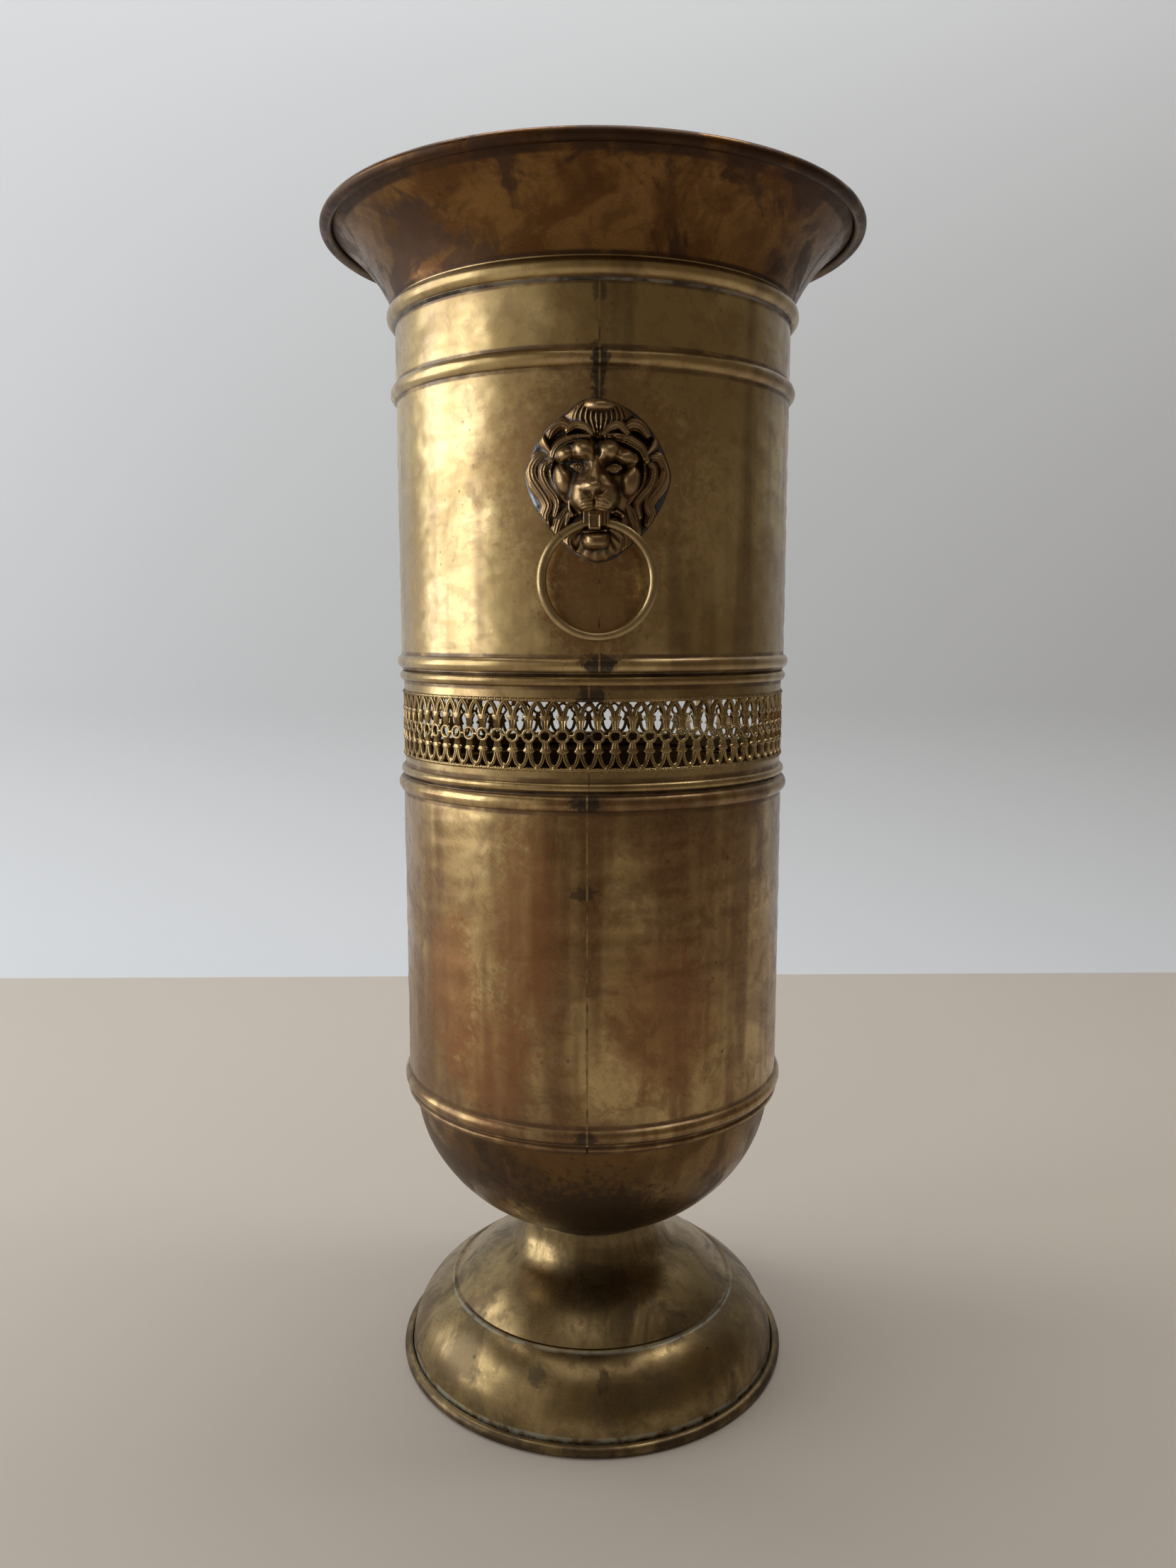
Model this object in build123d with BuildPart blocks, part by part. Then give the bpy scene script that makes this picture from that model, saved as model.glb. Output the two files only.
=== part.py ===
# Umbrella stand of brass sheet: a bowl on a spun foot, two drums with a pierced gallery
# between them, a flared mouth, and a lion mask with a ring handle at the front and rear.
# Millimetres. +Z is up, the origin is on the floor under the middle, the front faces -Y.
import os
from math import asin, cos, degrees, pi, radians, sin, sqrt

from build123d import *

os.makedirs("parts", exist_ok=True)

# Sheet, wire and solder
sheet = 0.9  # thickness of every shell
film = 0.1  # solder film between nested sheets
lap = 8.0  # how far one drum reaches into the next
wire_r = 1.5  # wire inside the rolled edges
wire_play = 0.5  # clearance of the wire in its rolled edge
curl_turn = 300  # degrees of sheet bent round a wire
solder_leg = 1.2  # leg of a solder fillet
solder_play = 0.3  # clearance of a groove's solder from the sheet behind it
seam_w = 0.9  # width of the soldered butt joints

# Foot
foot_h = 80.2  # floor to the seat under the bowl
foot_rim_r = 106.4  # outside of the rolled edge
foot_flat = 0.4  # depth worn flat under the rolled edge
ridge_r = 77.6
ridge_z = 38.0
ridge_w = 1.8
neck_r = 37.5
neck_round = 3.0
neck_tilt = 10  # degrees from upright at the top of the neck
neck_wall_h = 4.5  # straight wall between the neck's top and its hollow
waist_r = 50.0  # where the hollow neck turns into the full shoulder
waist_z = 58.2

# Bowl
bowl_r = 96.9
bowl_h = 75.6  # seat to the lip
joggle_h = 1.7  # rise of the step from the lip to the collar

# Drums and gallery
body_r = 100.4  # outside of both drums
lower_h = 168.2
gallery_h = 55.0  # lower drum's edge to upper drum's edge
upper_h = 169.6  # upper drum's edge to the mouth's collar
groove_h = 0.8  # groove between a gallery bead and a drum's edge

# Swaged beads, and the plain hems between a bead and its sheet's edge
lower_foot_hem = 0.9
lower_foot_bead_h = 7.4
lower_foot_bead_swell = 2.4
lower_head_hem = 0.4
lower_head_bead_h = 7.6
lower_head_bead_swell = 2.5
gallery_foot_bead_h = 4.6
gallery_head_bead_h = 5.2
gallery_bead_swell = 2.1
upper_foot_hem = 0.4
upper_foot_bead_h = 6.8
upper_foot_bead_swell = 2.3
upper_mid_bead = 136.9  # drum's lower edge to the middle of the bead
upper_mid_bead_h = 7.9
upper_mid_bead_swell = 2.9
mouth_hem = 0.3
mouth_bead_h = 8.4
mouth_bead_swell = 3.1
mouth_neck = 0.5  # plain sheet between the bead and the flare

# Mouth
mouth_h = 47.8  # collar's edge to the top of the rolled edge
mouth_rim_r = 135.9  # outside of the rolled edge
lip_angle = 34  # slope of the flare where the edge is rolled

# Gallery piercing
motif_count = 78  # repeats of the pattern round the strip
ring_row = 26.7  # height of the pierced rings above the lower drum's edge
motif_ring_r = 3.2
motif_eye_r = 2.0
column_w = 2.6
lug_h = 1.5  # bars that join one pierced ring to the next
arch_up = 10.2  # from the ring row to the spring of the arches
arch_bar = 1.3
spandrel_up = 14.2  # from the ring row to the small holes between the arches
spandrel_r = 1.0

# Fastening of the bowl on the foot
bolt_r = 4.0
bolt_l = 24.0
bolt_play = 0.3  # clearance of the bolt in its holes
nut_play = 0.08
hex_flat = 13.0  # across the flats of head and nut
head_h = 5.3
nut_h = 6.5
bowl_washer_r = 18.0
foot_washer_r = 16.0
washer_t = 1.5

# Lion mask: heights are from its centre, reaches are from the drum's face
mask_up = 84.8  # upper drum's edge to the middle of the mask
mask_w = 66.0
mask_top = 36.0
mask_bottom = 36.5
mask_broad = 3.0  # height of the widest place
mask_bow = 6.2  # bulge of each quarter of the outline
mask_wall = 1.2
flange_w = 3.0
mane_reach = 5.0
face_r = 32.0
face_reach = 12.0
brow_r = 8.0
brow_x = 8.2
brow_y = 10.0
brow_reach = 16.0
cheek_r = 8.5
cheek_x = 14.2
cheek_y = -1.0
cheek_reach = 14.0
nose_r = 5.4
nose_y = -5.5
nose_reach = 21.5
muzzle_r = 7.4
muzzle_x = 5.0
muzzle_y = -8.8
muzzle_reach = 20.0
chin_r = 6.3
chin_y = -27.2
chin_reach = 15.0
teeth_w = 8.0
teeth_t = 3.2
crest_r = 7.5
crest_y = 27.0
crest_reach = 9.0
mask_solder_w = 1.6
mask_solder_t = 0.9

# Ring handle
ring_r = 24.65  # middle of the wire
ring_wire_r = 2.1
ring_drop = 19.0  # middle of the mask to the hinge line in the mouth
ring_out = 7.6  # drum's face to the hinge line
ring_play = 0.4
mouth_half_w = 13.0  # half the width of the passage behind the teeth
ring_joint = 0.8  # degrees left open where the bent wire meets itself
ring_joint_at = 131  # degrees round the ring, at its upper left

# Turns of the three soldered joints away from the front
front_turn = -90
upper_seam_turn = 0.5
gallery_seam_turn = -2.1
lower_seam_turn = -2.6

# Heights that follow
bowl_lip_z = foot_h + bowl_h
lower_z = bowl_lip_z + joggle_h
gallery_z = lower_z + lower_h
upper_z = gallery_z + gallery_h
mouth_z = upper_z + upper_h
top_z = mouth_z + mouth_h
mask_z = upper_z + mask_up
ring_row_z = gallery_z + ring_row

# Radii that follow
curl_in = wire_r + wire_play
curl_out = curl_in + sheet
tongue_r = body_r - sheet - film
collar_r = body_r + film + sheet
seat_r = neck_r - neck_round
foot_wire_at = foot_rim_r - curl_out
foot_wire_z = curl_out - foot_flat
mouth_wire_at = mouth_rim_r - curl_out
mouth_wire_z = top_z - curl_out
hole_r = bolt_r + bolt_play


def beside(edge, gap):
    # start, middle and end of a line at an even gap on the left of an edge
    points = []
    for share in (0, 0.5, 1):
        heading = edge % share
        points.append(edge @ share + Vector(-heading.Y, heading.X) * gap)
    return points


def round_point(centre, radius, angle):
    return (centre[0] + radius * cos(radians(angle)), centre[1] + radius * sin(radians(angle)))


def wall_line(radius, low, high, beads):
    # upright line of a drum's wall, with its beads as arcs
    here = (radius, low)
    for place, height, swell in beads:
        below = (radius, place - height / 2)
        above = (radius, place + height / 2)
        Line(here, below)
        ThreePointArc(below, (radius + swell, place), above)
        here = above
    Line(here, (radius, high))


def drum_section(radius, low, high, beads):
    # closed outline of a drum's sheet
    inner = radius - sheet
    hollow = [(place, height - sheet, swell) for place, height, swell in beads]
    with BuildSketch() as section:
        with BuildLine():
            wall_line(radius, low, high, beads)
            Line((radius, high), (inner, high))
            wall_line(inner, low, high, hollow)
            Line((inner, low), (radius, low))
        make_face()
    return section.sketch


def upright(turn):
    # upright half plane through the axis, turned from +X
    across = cos(radians(turn))
    along = sin(radians(turn))
    return Plane(origin=(0, 0, 0), x_dir=(across, along, 0), z_dir=(along, -across, 0))


def joint_arc(radius):
    # width of a soldered joint as an angle
    return degrees(seam_w / radius)


lower_beads = [
    (lower_z + lower_foot_hem + lower_foot_bead_h / 2, lower_foot_bead_h, lower_foot_bead_swell),
    (gallery_z - lower_head_hem - lower_head_bead_h / 2, lower_head_bead_h, lower_head_bead_swell),
]
gallery_beads = [
    (gallery_z + groove_h + gallery_foot_bead_h / 2, gallery_foot_bead_h, gallery_bead_swell),
    (upper_z - groove_h - gallery_head_bead_h / 2, gallery_head_bead_h, gallery_bead_swell),
]
upper_beads = [
    (upper_z + upper_foot_hem + upper_foot_bead_h / 2, upper_foot_bead_h, upper_foot_bead_swell),
    (upper_z + upper_mid_bead, upper_mid_bead_h, upper_mid_bead_swell),
]

# Foot: disc under the bowl, hollow neck, full shoulder, ridge, dome and rolled edge
foot_wire = (foot_wire_at, foot_wire_z)
ridge_above = (ridge_r - ridge_w / 2, ridge_z + ridge_w / 2)
ridge_crest = (ridge_r + ridge_w * 0.4, ridge_z + ridge_w * 0.6)
ridge_below = (ridge_r + ridge_w / 2, ridge_z - ridge_w / 4)
foot_curl_end = 180 + curl_turn
with BuildPart() as foot:
    with BuildSketch(Plane.XZ) as foot_section:
        with BuildLine() as foot_line:
            disc = Line((hole_r, foot_h), (seat_r, foot_h))
            top_round = ThreePointArc(
                disc @ 1,
                round_point((seat_r, foot_h - neck_round), neck_round, 50),
                round_point((seat_r, foot_h - neck_round), neck_round, neck_tilt),
            )
            wall = Line(top_round @ 1, top_round @ 1 + (top_round % 1) * neck_wall_h)
            neck = TangentArc(wall @ 1, (waist_r, waist_z), tangent=wall % 1)
            shoulder = TangentArc(neck @ 1, ridge_above, tangent=neck % 1)
            ThreePointArc(ridge_above, ridge_crest, ridge_below)
            dome = TangentArc((foot_wire_at - curl_in, foot_wire_z), ridge_below, tangent=(0, 1))
            ThreePointArc(
                dome @ 0,
                round_point(foot_wire, curl_in, 180 + curl_turn / 2),
                round_point(foot_wire, curl_in, foot_curl_end),
            )
            Line(
                round_point(foot_wire, curl_in, foot_curl_end),
                round_point(foot_wire, curl_out, foot_curl_end),
            )
            ThreePointArc(
                round_point(foot_wire, curl_out, foot_curl_end),
                round_point(foot_wire, curl_out, 180 + curl_turn / 2),
                round_point(foot_wire, curl_out, 180),
            )
            dome_inside = ThreePointArc(*beside(dome, sheet))
            shoulder_inside = ThreePointArc(*beside(shoulder, -sheet))
            Line(dome_inside @ 1, shoulder_inside @ 1)
            ThreePointArc(*beside(neck, -sheet))
            Polyline(*beside(wall, -sheet))
            ThreePointArc(*beside(top_round, -sheet))
            disc_inside = Line((hole_r, foot_h - sheet), (seat_r, foot_h - sheet))
            Line(disc_inside @ 0, disc @ 0)
        make_face()
    revolve(axis=Axis.Z)
    split(bisect_by=Plane.XY, keep=Keep.TOP)
foot.part.label = "foot"
export_step(foot.part, "parts/foot.step")

# Wire inside the foot's rolled edge
with BuildPart() as foot_rim_wire:
    with BuildSketch(Plane.XZ):
        with Locations(foot_wire):
            Circle(wire_r)
    revolve(axis=Axis.Z)
foot_rim_wire.part.label = "foot_rim_wire"
export_step(foot_rim_wire.part, "parts/foot_rim_wire.step")

# Bowl: flat seat, spun hollow, and a collar that reaches into the lower drum
bowl_drop = bowl_h / sqrt(1 - (seat_r / bowl_r) ** 2)
bowl_arc = degrees(asin(bowl_h / bowl_drop))
bowl_in_arc = degrees(asin((bowl_h - sheet) / (bowl_drop - sheet)))
bowl_centre = (0, bowl_lip_z)
collar_top = lower_z + lap
with BuildPart() as bowl:
    with BuildSketch(Plane.XZ):
        with BuildLine():
            hollow = EllipticalCenterArc(bowl_centre, bowl_r, bowl_drop, -bowl_arc, arc_size=bowl_arc)
            inside = EllipticalCenterArc(
                bowl_centre, bowl_r - sheet, bowl_drop - sheet, -bowl_in_arc, arc_size=bowl_in_arc
            )
            Polyline((hole_r, foot_h), hollow @ 0)
            Polyline(hollow @ 1, (tongue_r, lower_z), (tongue_r, collar_top))
            Line((tongue_r, collar_top), (tongue_r - sheet, collar_top))
            Polyline((tongue_r - sheet, collar_top), (tongue_r - sheet, lower_z), inside @ 1)
            Polyline(inside @ 0, (hole_r, foot_h + sheet), (hole_r, foot_h))
        make_face()
    revolve(axis=Axis.Z)
bowl.part.label = "bowl"
export_step(bowl.part, "parts/bowl.step")

# Solder fillet in the corner between the bowl and the neck
fillet_in = seat_r + neck_round * 0.55
fillet_out = neck_r + solder_leg
with BuildPart() as neck_solder_ring:
    with BuildSketch(Plane.XZ):
        with BuildLine():
            Polyline(
                (fillet_in, foot_h - film),
                (fillet_out, foot_h - film),
                (neck_r + film, foot_h - neck_round * 0.6),
                close=True,
            )
        make_face()
    revolve(axis=Axis.Z)
neck_solder_ring.part.label = "neck_solder_ring"
export_step(neck_solder_ring.part, "parts/neck_solder_ring.step")

# Bolt, washers and nut that hold the bowl on the foot
bowl_floor_z = foot_h + sheet
head_z = bowl_floor_z + washer_t
foot_ceiling_z = foot_h - sheet
nut_z = foot_ceiling_z - washer_t - nut_h
with BuildPart() as bowl_washer:
    with BuildSketch(Plane.XY.offset(bowl_floor_z)):
        Circle(bowl_washer_r)
        Circle(hole_r, mode=Mode.SUBTRACT)
    extrude(amount=washer_t)
bowl_washer.part.label = "bowl_washer"
export_step(bowl_washer.part, "parts/bowl_washer.step")

with BuildPart() as foot_washer:
    with BuildSketch(Plane.XY.offset(foot_ceiling_z - washer_t)):
        Circle(foot_washer_r)
        Circle(hole_r, mode=Mode.SUBTRACT)
    extrude(amount=washer_t)
foot_washer.part.label = "foot_washer"
export_step(foot_washer.part, "parts/foot_washer.step")

with BuildPart() as foot_bolt:
    with BuildSketch(Plane.XY.offset(head_z)):
        RegularPolygon(hex_flat / 2, 6, major_radius=False)
    extrude(amount=head_h)
    with BuildSketch(Plane.XY.offset(head_z)):
        Circle(bolt_r)
    extrude(amount=-bolt_l)
foot_bolt.part.label = "foot_bolt"
export_step(foot_bolt.part, "parts/foot_bolt.step")

with BuildPart() as foot_nut:
    with BuildSketch(Plane.XY.offset(nut_z)):
        RegularPolygon(hex_flat / 2, 6, major_radius=False)
        Circle(bolt_r + nut_play, mode=Mode.SUBTRACT)
    extrude(amount=nut_h)
foot_nut.part.label = "foot_nut"
export_step(foot_nut.part, "parts/foot_nut.step")

# Lower drum, rolled from sheet and closed by a soldered butt joint
lower_gap = joint_arc(body_r)
lower_start = front_turn + lower_seam_turn
with BuildPart() as lower_cylinder:
    with BuildSketch(upright(lower_start + lower_gap / 2)):
        add(drum_section(body_r, lower_z, gallery_z, lower_beads))
    revolve(axis=Axis.Z, revolution_arc=360 - lower_gap)
lower_cylinder.part.label = "lower_cylinder"
export_step(lower_cylinder.part, "parts/lower_cylinder.step")

with BuildPart() as lower_seam_solder:
    with BuildSketch(upright(lower_start - lower_gap / 2)):
        add(drum_section(body_r, lower_z, gallery_z, lower_beads))
    revolve(axis=Axis.Z, revolution_arc=lower_gap)
lower_seam_solder.part.label = "lower_seam_solder"
export_step(lower_seam_solder.part, "parts/lower_seam_solder.step")

# Solder under the lower drum's edge, against the bowl's step
with BuildPart() as bowl_solder_ring:
    with BuildSketch(Plane.XZ):
        with BuildLine():
            Polyline(
                (body_r - sheet + film, lower_z),
                (body_r, lower_z),
                (body_r - sheet, lower_z - joggle_h / 2),
                close=True,
            )
        make_face()
    revolve(axis=Axis.Z)
bowl_solder_ring.part.label = "bowl_solder_ring"
export_step(bowl_solder_ring.part, "parts/bowl_solder_ring.step")

# Gallery: a strip with two beads, pierced with rings on columns between two rows of arches
pitch = 2 * pi * tongue_r / motif_count
arch_r = (pitch - arch_bar) / 2
opening_w = pitch - column_w
tongue_low = gallery_z - lap
tongue_high = upper_z + lap
gallery_gap = joint_arc(tongue_r)
gallery_start = front_turn + gallery_seam_turn
cut_from = Plane(origin=(tongue_r - 2 * sheet, 0, ring_row_z), x_dir=(0, 1, 0), z_dir=(1, 0, 0))
cut_l = 3 * sheet
with BuildPart() as opening:
    # one opening between two columns, above and below the row of rings
    with BuildSketch(cut_from):
        for side in (1, -1):
            with Locations((0, side * arch_up / 2)):
                Rectangle(opening_w, arch_up)
            with Locations((0, side * arch_up)):
                Circle(arch_r)
        with Locations((-pitch / 2, 0), (pitch / 2, 0)):
            Circle(motif_ring_r, mode=Mode.SUBTRACT)
        Rectangle(pitch, lug_h, mode=Mode.SUBTRACT)
    extrude(amount=cut_l)
with BuildPart() as eyes:
    # the hole in a ring, and the small holes between the arches
    with BuildSketch(cut_from):
        Circle(motif_eye_r)
        with Locations((0, spandrel_up), (0, -spandrel_up)):
            Circle(spandrel_r)
    extrude(amount=cut_l)
half_pitch = 180 / motif_count
with BuildPart() as gallery_band:
    with BuildSketch(upright(gallery_start + gallery_gap / 2)):
        add(drum_section(tongue_r, tongue_low, tongue_high, gallery_beads))
    revolve(axis=Axis.Z, revolution_arc=360 - gallery_gap)
    with PolarLocations(0, motif_count, start_angle=gallery_start):
        add(opening.part, mode=Mode.SUBTRACT)
    with PolarLocations(0, motif_count, start_angle=gallery_start + half_pitch):
        add(eyes.part, mode=Mode.SUBTRACT)
gallery_band.part.label = "gallery_band"
export_step(gallery_band.part, "parts/gallery_band.step")

with BuildPart() as gallery_seam_solder:
    # the strip's ends meet in the middle of an opening, so solder stays above and below it
    with BuildSketch(upright(gallery_start - gallery_gap / 2)):
        add(drum_section(tongue_r, tongue_low, tongue_high, gallery_beads))
    revolve(axis=Axis.Z, revolution_arc=gallery_gap)
    with PolarLocations(0, 1, start_angle=gallery_start):
        add(opening.part, mode=Mode.SUBTRACT)
gallery_seam_solder.part.label = "gallery_seam_solder"
export_step(gallery_seam_solder.part, "parts/gallery_seam_solder.step")


def groove_solder(edge_z, bead_z):
    # solder in the groove between a drum's edge and the gallery's bead
    with BuildSketch(Plane.XZ) as section:
        with BuildLine():
            Polyline(
                (tongue_r + solder_play, edge_z),
                (body_r, edge_z),
                (tongue_r + solder_play, bead_z),
                close=True,
            )
        make_face()
    return section.sketch


with BuildPart() as gallery_lower_solder_ring:
    add(groove_solder(gallery_z, gallery_z + groove_h - film))
    revolve(axis=Axis.Z)
gallery_lower_solder_ring.part.label = "gallery_lower_solder_ring"
export_step(gallery_lower_solder_ring.part, "parts/gallery_lower_solder_ring.step")

with BuildPart() as gallery_upper_solder_ring:
    add(groove_solder(upper_z, upper_z - groove_h + film))
    revolve(axis=Axis.Z)
gallery_upper_solder_ring.part.label = "gallery_upper_solder_ring"
export_step(gallery_upper_solder_ring.part, "parts/gallery_upper_solder_ring.step")

# Upper drum, closed by a soldered butt joint, with its top inside the mouth's collar
upper_top = mouth_z + lap
upper_gap = joint_arc(body_r)
upper_start = front_turn + upper_seam_turn
with BuildPart() as upper_cylinder:
    with BuildSketch(upright(upper_start + upper_gap / 2)):
        add(drum_section(body_r, upper_z, upper_top, upper_beads))
    revolve(axis=Axis.Z, revolution_arc=360 - upper_gap)
upper_cylinder.part.label = "upper_cylinder"
export_step(upper_cylinder.part, "parts/upper_cylinder.step")

with BuildPart() as upper_seam_solder:
    with BuildSketch(upright(upper_start - upper_gap / 2)):
        add(drum_section(body_r, upper_z, upper_top, upper_beads))
    revolve(axis=Axis.Z, revolution_arc=upper_gap)
upper_seam_solder.part.label = "upper_seam_solder"
export_step(upper_seam_solder.part, "parts/upper_seam_solder.step")

# Mouth: collar and bead over the upper drum, flare, and an edge rolled outwards round a wire
mouth_wire = (mouth_wire_at, mouth_wire_z)
mouth_bead_z = mouth_z + mouth_hem + mouth_bead_h / 2
neck_z = mouth_bead_z + mouth_bead_h / 2
flare_z = neck_z + mouth_neck
collar_in = collar_r - sheet
curl_start = 90 + lip_angle
curl_mid = curl_start - curl_turn / 2
curl_stop = curl_start - curl_turn
with BuildPart() as flared_mouth:
    with BuildSketch(Plane.XZ):
        with BuildLine():
            wall_line(collar_r, mouth_z, flare_z, [(mouth_bead_z, mouth_bead_h, mouth_bead_swell)])
            wall_line(
                collar_in, mouth_z, neck_z, [(mouth_bead_z, mouth_bead_h - sheet, mouth_bead_swell)]
            )
            Line((collar_in, mouth_z), (collar_r, mouth_z))
            flare = TangentArc(
                round_point(mouth_wire, curl_in, curl_start),
                (collar_r, flare_z),
                tangent=(-cos(radians(lip_angle)), -sin(radians(lip_angle))),
            )
            flare_inside = ThreePointArc(*beside(flare, -sheet))
            Line(flare_inside @ 1, (collar_in, neck_z))
            ThreePointArc(
                flare @ 0,
                round_point(mouth_wire, curl_in, curl_mid),
                round_point(mouth_wire, curl_in, curl_stop),
            )
            Line(
                round_point(mouth_wire, curl_in, curl_stop),
                round_point(mouth_wire, curl_out, curl_stop),
            )
            ThreePointArc(
                round_point(mouth_wire, curl_out, curl_stop),
                round_point(mouth_wire, curl_out, curl_mid),
                round_point(mouth_wire, curl_out, curl_start),
            )
        make_face()
    revolve(axis=Axis.Z)
flared_mouth.part.label = "flared_mouth"
export_step(flared_mouth.part, "parts/flared_mouth.step")

with BuildPart() as rim_wire:
    with BuildSketch(Plane.XZ):
        with Locations(mouth_wire):
            Circle(wire_r)
    revolve(axis=Axis.Z)
rim_wire.part.label = "rim_wire"
export_step(rim_wire.part, "parts/rim_wire.step")

# Solder under the collar's edge, against the upper drum
with BuildPart() as mouth_solder_ring:
    with BuildSketch(Plane.XZ):
        with BuildLine():
            Polyline(
                (collar_in, mouth_z),
                (collar_r, mouth_z),
                (collar_in, mouth_z - solder_leg),
                close=True,
            )
        make_face()
    revolve(axis=Axis.Z)
mouth_solder_ring.part.label = "mouth_solder_ring"
export_step(mouth_solder_ring.part, "parts/mouth_solder_ring.step")


def mask_outline(grow):
    # shield outline of the mask, larger or smaller all round
    top = (0, mask_top + grow)
    bottom = (0, -mask_bottom - grow)
    right = (mask_w / 2 + grow, mask_broad)
    left = (-mask_w / 2 - grow, mask_broad)
    with BuildSketch() as outline:
        with BuildLine():
            SagittaArc(top, left, -mask_bow)
            SagittaArc(left, bottom, -mask_bow)
            SagittaArc(bottom, right, -mask_bow)
            SagittaArc(right, top, -mask_bow)
        make_face()
    return outline.sketch


def skin(face, outline, reach):
    # block from the axis out to a skin over the drum, inside an outline
    with BuildPart() as block:
        with BuildSketch(face):
            add(outline)
        extrude(amount=body_r + reach)
        with Locations((0, 0, mask_z)):
            Cylinder(body_r + reach, 2 * (mask_top + mask_bottom), mode=Mode.INTERSECT)
    return block.part


def lion_forms(face, thin):
    # head, brows, cheeks, nose, muzzle, chin and crest, thinner all round
    with BuildPart(face) as forms:
        with Locations((0, 0, body_r + face_reach - face_r)):
            Sphere(face_r - thin)
        brow_at = body_r + brow_reach - brow_r
        with Locations((-brow_x, brow_y, brow_at), (brow_x, brow_y, brow_at)):
            Sphere(brow_r - thin)
        cheek_at = body_r + cheek_reach - cheek_r
        with Locations((-cheek_x, cheek_y, cheek_at), (cheek_x, cheek_y, cheek_at)):
            Sphere(cheek_r - thin)
        nose_at = body_r + nose_reach - nose_r
        with Locations((0, nose_y, nose_at)):
            Sphere(nose_r - thin)
        muzzle_at = body_r + muzzle_reach - muzzle_r
        with Locations((-muzzle_x, muzzle_y, muzzle_at), (muzzle_x, muzzle_y, muzzle_at)):
            Sphere(muzzle_r - thin)
        with Locations((0, chin_y, body_r + chin_reach - chin_r)):
            Sphere(chin_r - thin)
        with Locations((0, crest_y, body_r + crest_reach - crest_r)):
            Sphere(crest_r - thin)
    return forms.part


# Mask, its solder border and the ring handle, drawn at the front
passage_end = ring_r - sqrt((ring_r - ring_wire_r) ** 2 - mouth_half_w**2) + ring_play
passage_mid = ring_wire_r + ring_play
teeth_at = body_r + ring_out + passage_mid
mask_tall = 2 * (mask_top + mask_bottom)
face = Plane(origin=(0, 0, mask_z), x_dir=(1, 0, 0), z_dir=(0, -1, 0))
hinge = Plane(origin=(0, -body_r - ring_out, mask_z - ring_drop), x_dir=(1, 0, 0), z_dir=(0, -1, 0))
with BuildPart() as mask:
    add(skin(face, mask_outline(-flange_w), mane_reach))
    add(lion_forms(face, 0))
    add(skin(face, mask_outline(-flange_w - mask_wall), mane_reach - mask_wall), mode=Mode.SUBTRACT)
    add(lion_forms(face, mask_wall), mode=Mode.SUBTRACT)
    add(skin(face, mask_outline(0), film + sheet))
    add(skin(face, mask_outline(-flange_w - mask_wall), film + sheet), mode=Mode.SUBTRACT)
    with BuildSketch(face.offset(teeth_at)):
        with Locations((0, (muzzle_y + chin_y) / 2)):
            Rectangle(teeth_w, muzzle_y - chin_y)
    extrude(amount=teeth_t)
    # passage in which the top of the ring turns behind the teeth
    with BuildSketch(hinge):
        with BuildLine():
            Polyline(
                (-mouth_half_w, passage_end),
                (-mouth_half_w, 0),
                (mouth_half_w, 0),
                (mouth_half_w, passage_end),
            )
            ThreePointArc((-mouth_half_w, passage_end), (0, passage_mid), (mouth_half_w, passage_end))
        make_face()
    revolve(axis=Axis(hinge.origin, hinge.x_dir), mode=Mode.SUBTRACT)
    with Locations((0, 0, mask_z)):
        Cylinder(body_r + film, mask_tall, mode=Mode.SUBTRACT)

with BuildPart() as mask_solder:
    add(skin(face, mask_outline(mask_solder_w), film + mask_solder_t))
    add(skin(face, mask_outline(film), 2 * sheet), mode=Mode.SUBTRACT)
    with Locations((0, 0, mask_z)):
        Cylinder(body_r + film, mask_tall, mode=Mode.SUBTRACT)

ring_centre = hinge.origin - Vector(0, 0, ring_r)
spoke = face.x_dir.rotate(Axis((0, 0, 0), face.z_dir), ring_joint_at)
with BuildPart() as ring:
    with BuildSketch(Plane(origin=ring_centre, x_dir=spoke, z_dir=spoke.cross(face.z_dir))):
        with Locations((ring_r, 0)):
            Circle(ring_wire_r)
    revolve(axis=Axis(ring_centre, face.z_dir), revolution_arc=360 - ring_joint)

# The same three at the front and, turned half round, at the rear
for side, turn in (("front", 0), ("rear", 180)):
    for piece, drawn in (("mask", mask), ("mask_solder", mask_solder), ("ring", ring)):
        name = side + "_" + piece
        placed = drawn.part.rotate(Axis.Z, turn)
        placed.label = name
        export_step(placed, "parts/" + name + ".step")
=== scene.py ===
import math

import bmesh
import bpy
import numpy as np
from mathutils import Matrix, Vector, noise


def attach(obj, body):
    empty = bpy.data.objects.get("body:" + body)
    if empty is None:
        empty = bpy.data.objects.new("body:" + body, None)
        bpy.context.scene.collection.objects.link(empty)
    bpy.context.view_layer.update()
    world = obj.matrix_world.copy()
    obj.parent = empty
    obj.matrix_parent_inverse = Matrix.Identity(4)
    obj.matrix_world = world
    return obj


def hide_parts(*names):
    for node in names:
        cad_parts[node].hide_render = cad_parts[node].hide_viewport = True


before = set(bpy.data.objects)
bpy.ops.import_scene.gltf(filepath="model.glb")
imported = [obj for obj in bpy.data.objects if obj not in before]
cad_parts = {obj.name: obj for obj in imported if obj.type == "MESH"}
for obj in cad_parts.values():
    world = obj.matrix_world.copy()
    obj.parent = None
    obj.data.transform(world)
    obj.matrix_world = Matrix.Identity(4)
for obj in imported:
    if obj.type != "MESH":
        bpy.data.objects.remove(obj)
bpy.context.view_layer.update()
print("frame loaded")

# Lengths are in millimetres until a piece is finished
mm = 0.001
fullTurn = 2 * math.pi
sheet = 0.9
seamWidth = 0.9
boltHole = 4.3
drumRadius = 100.4
frontTurn = -90.0
ringSteps = 288


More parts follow.
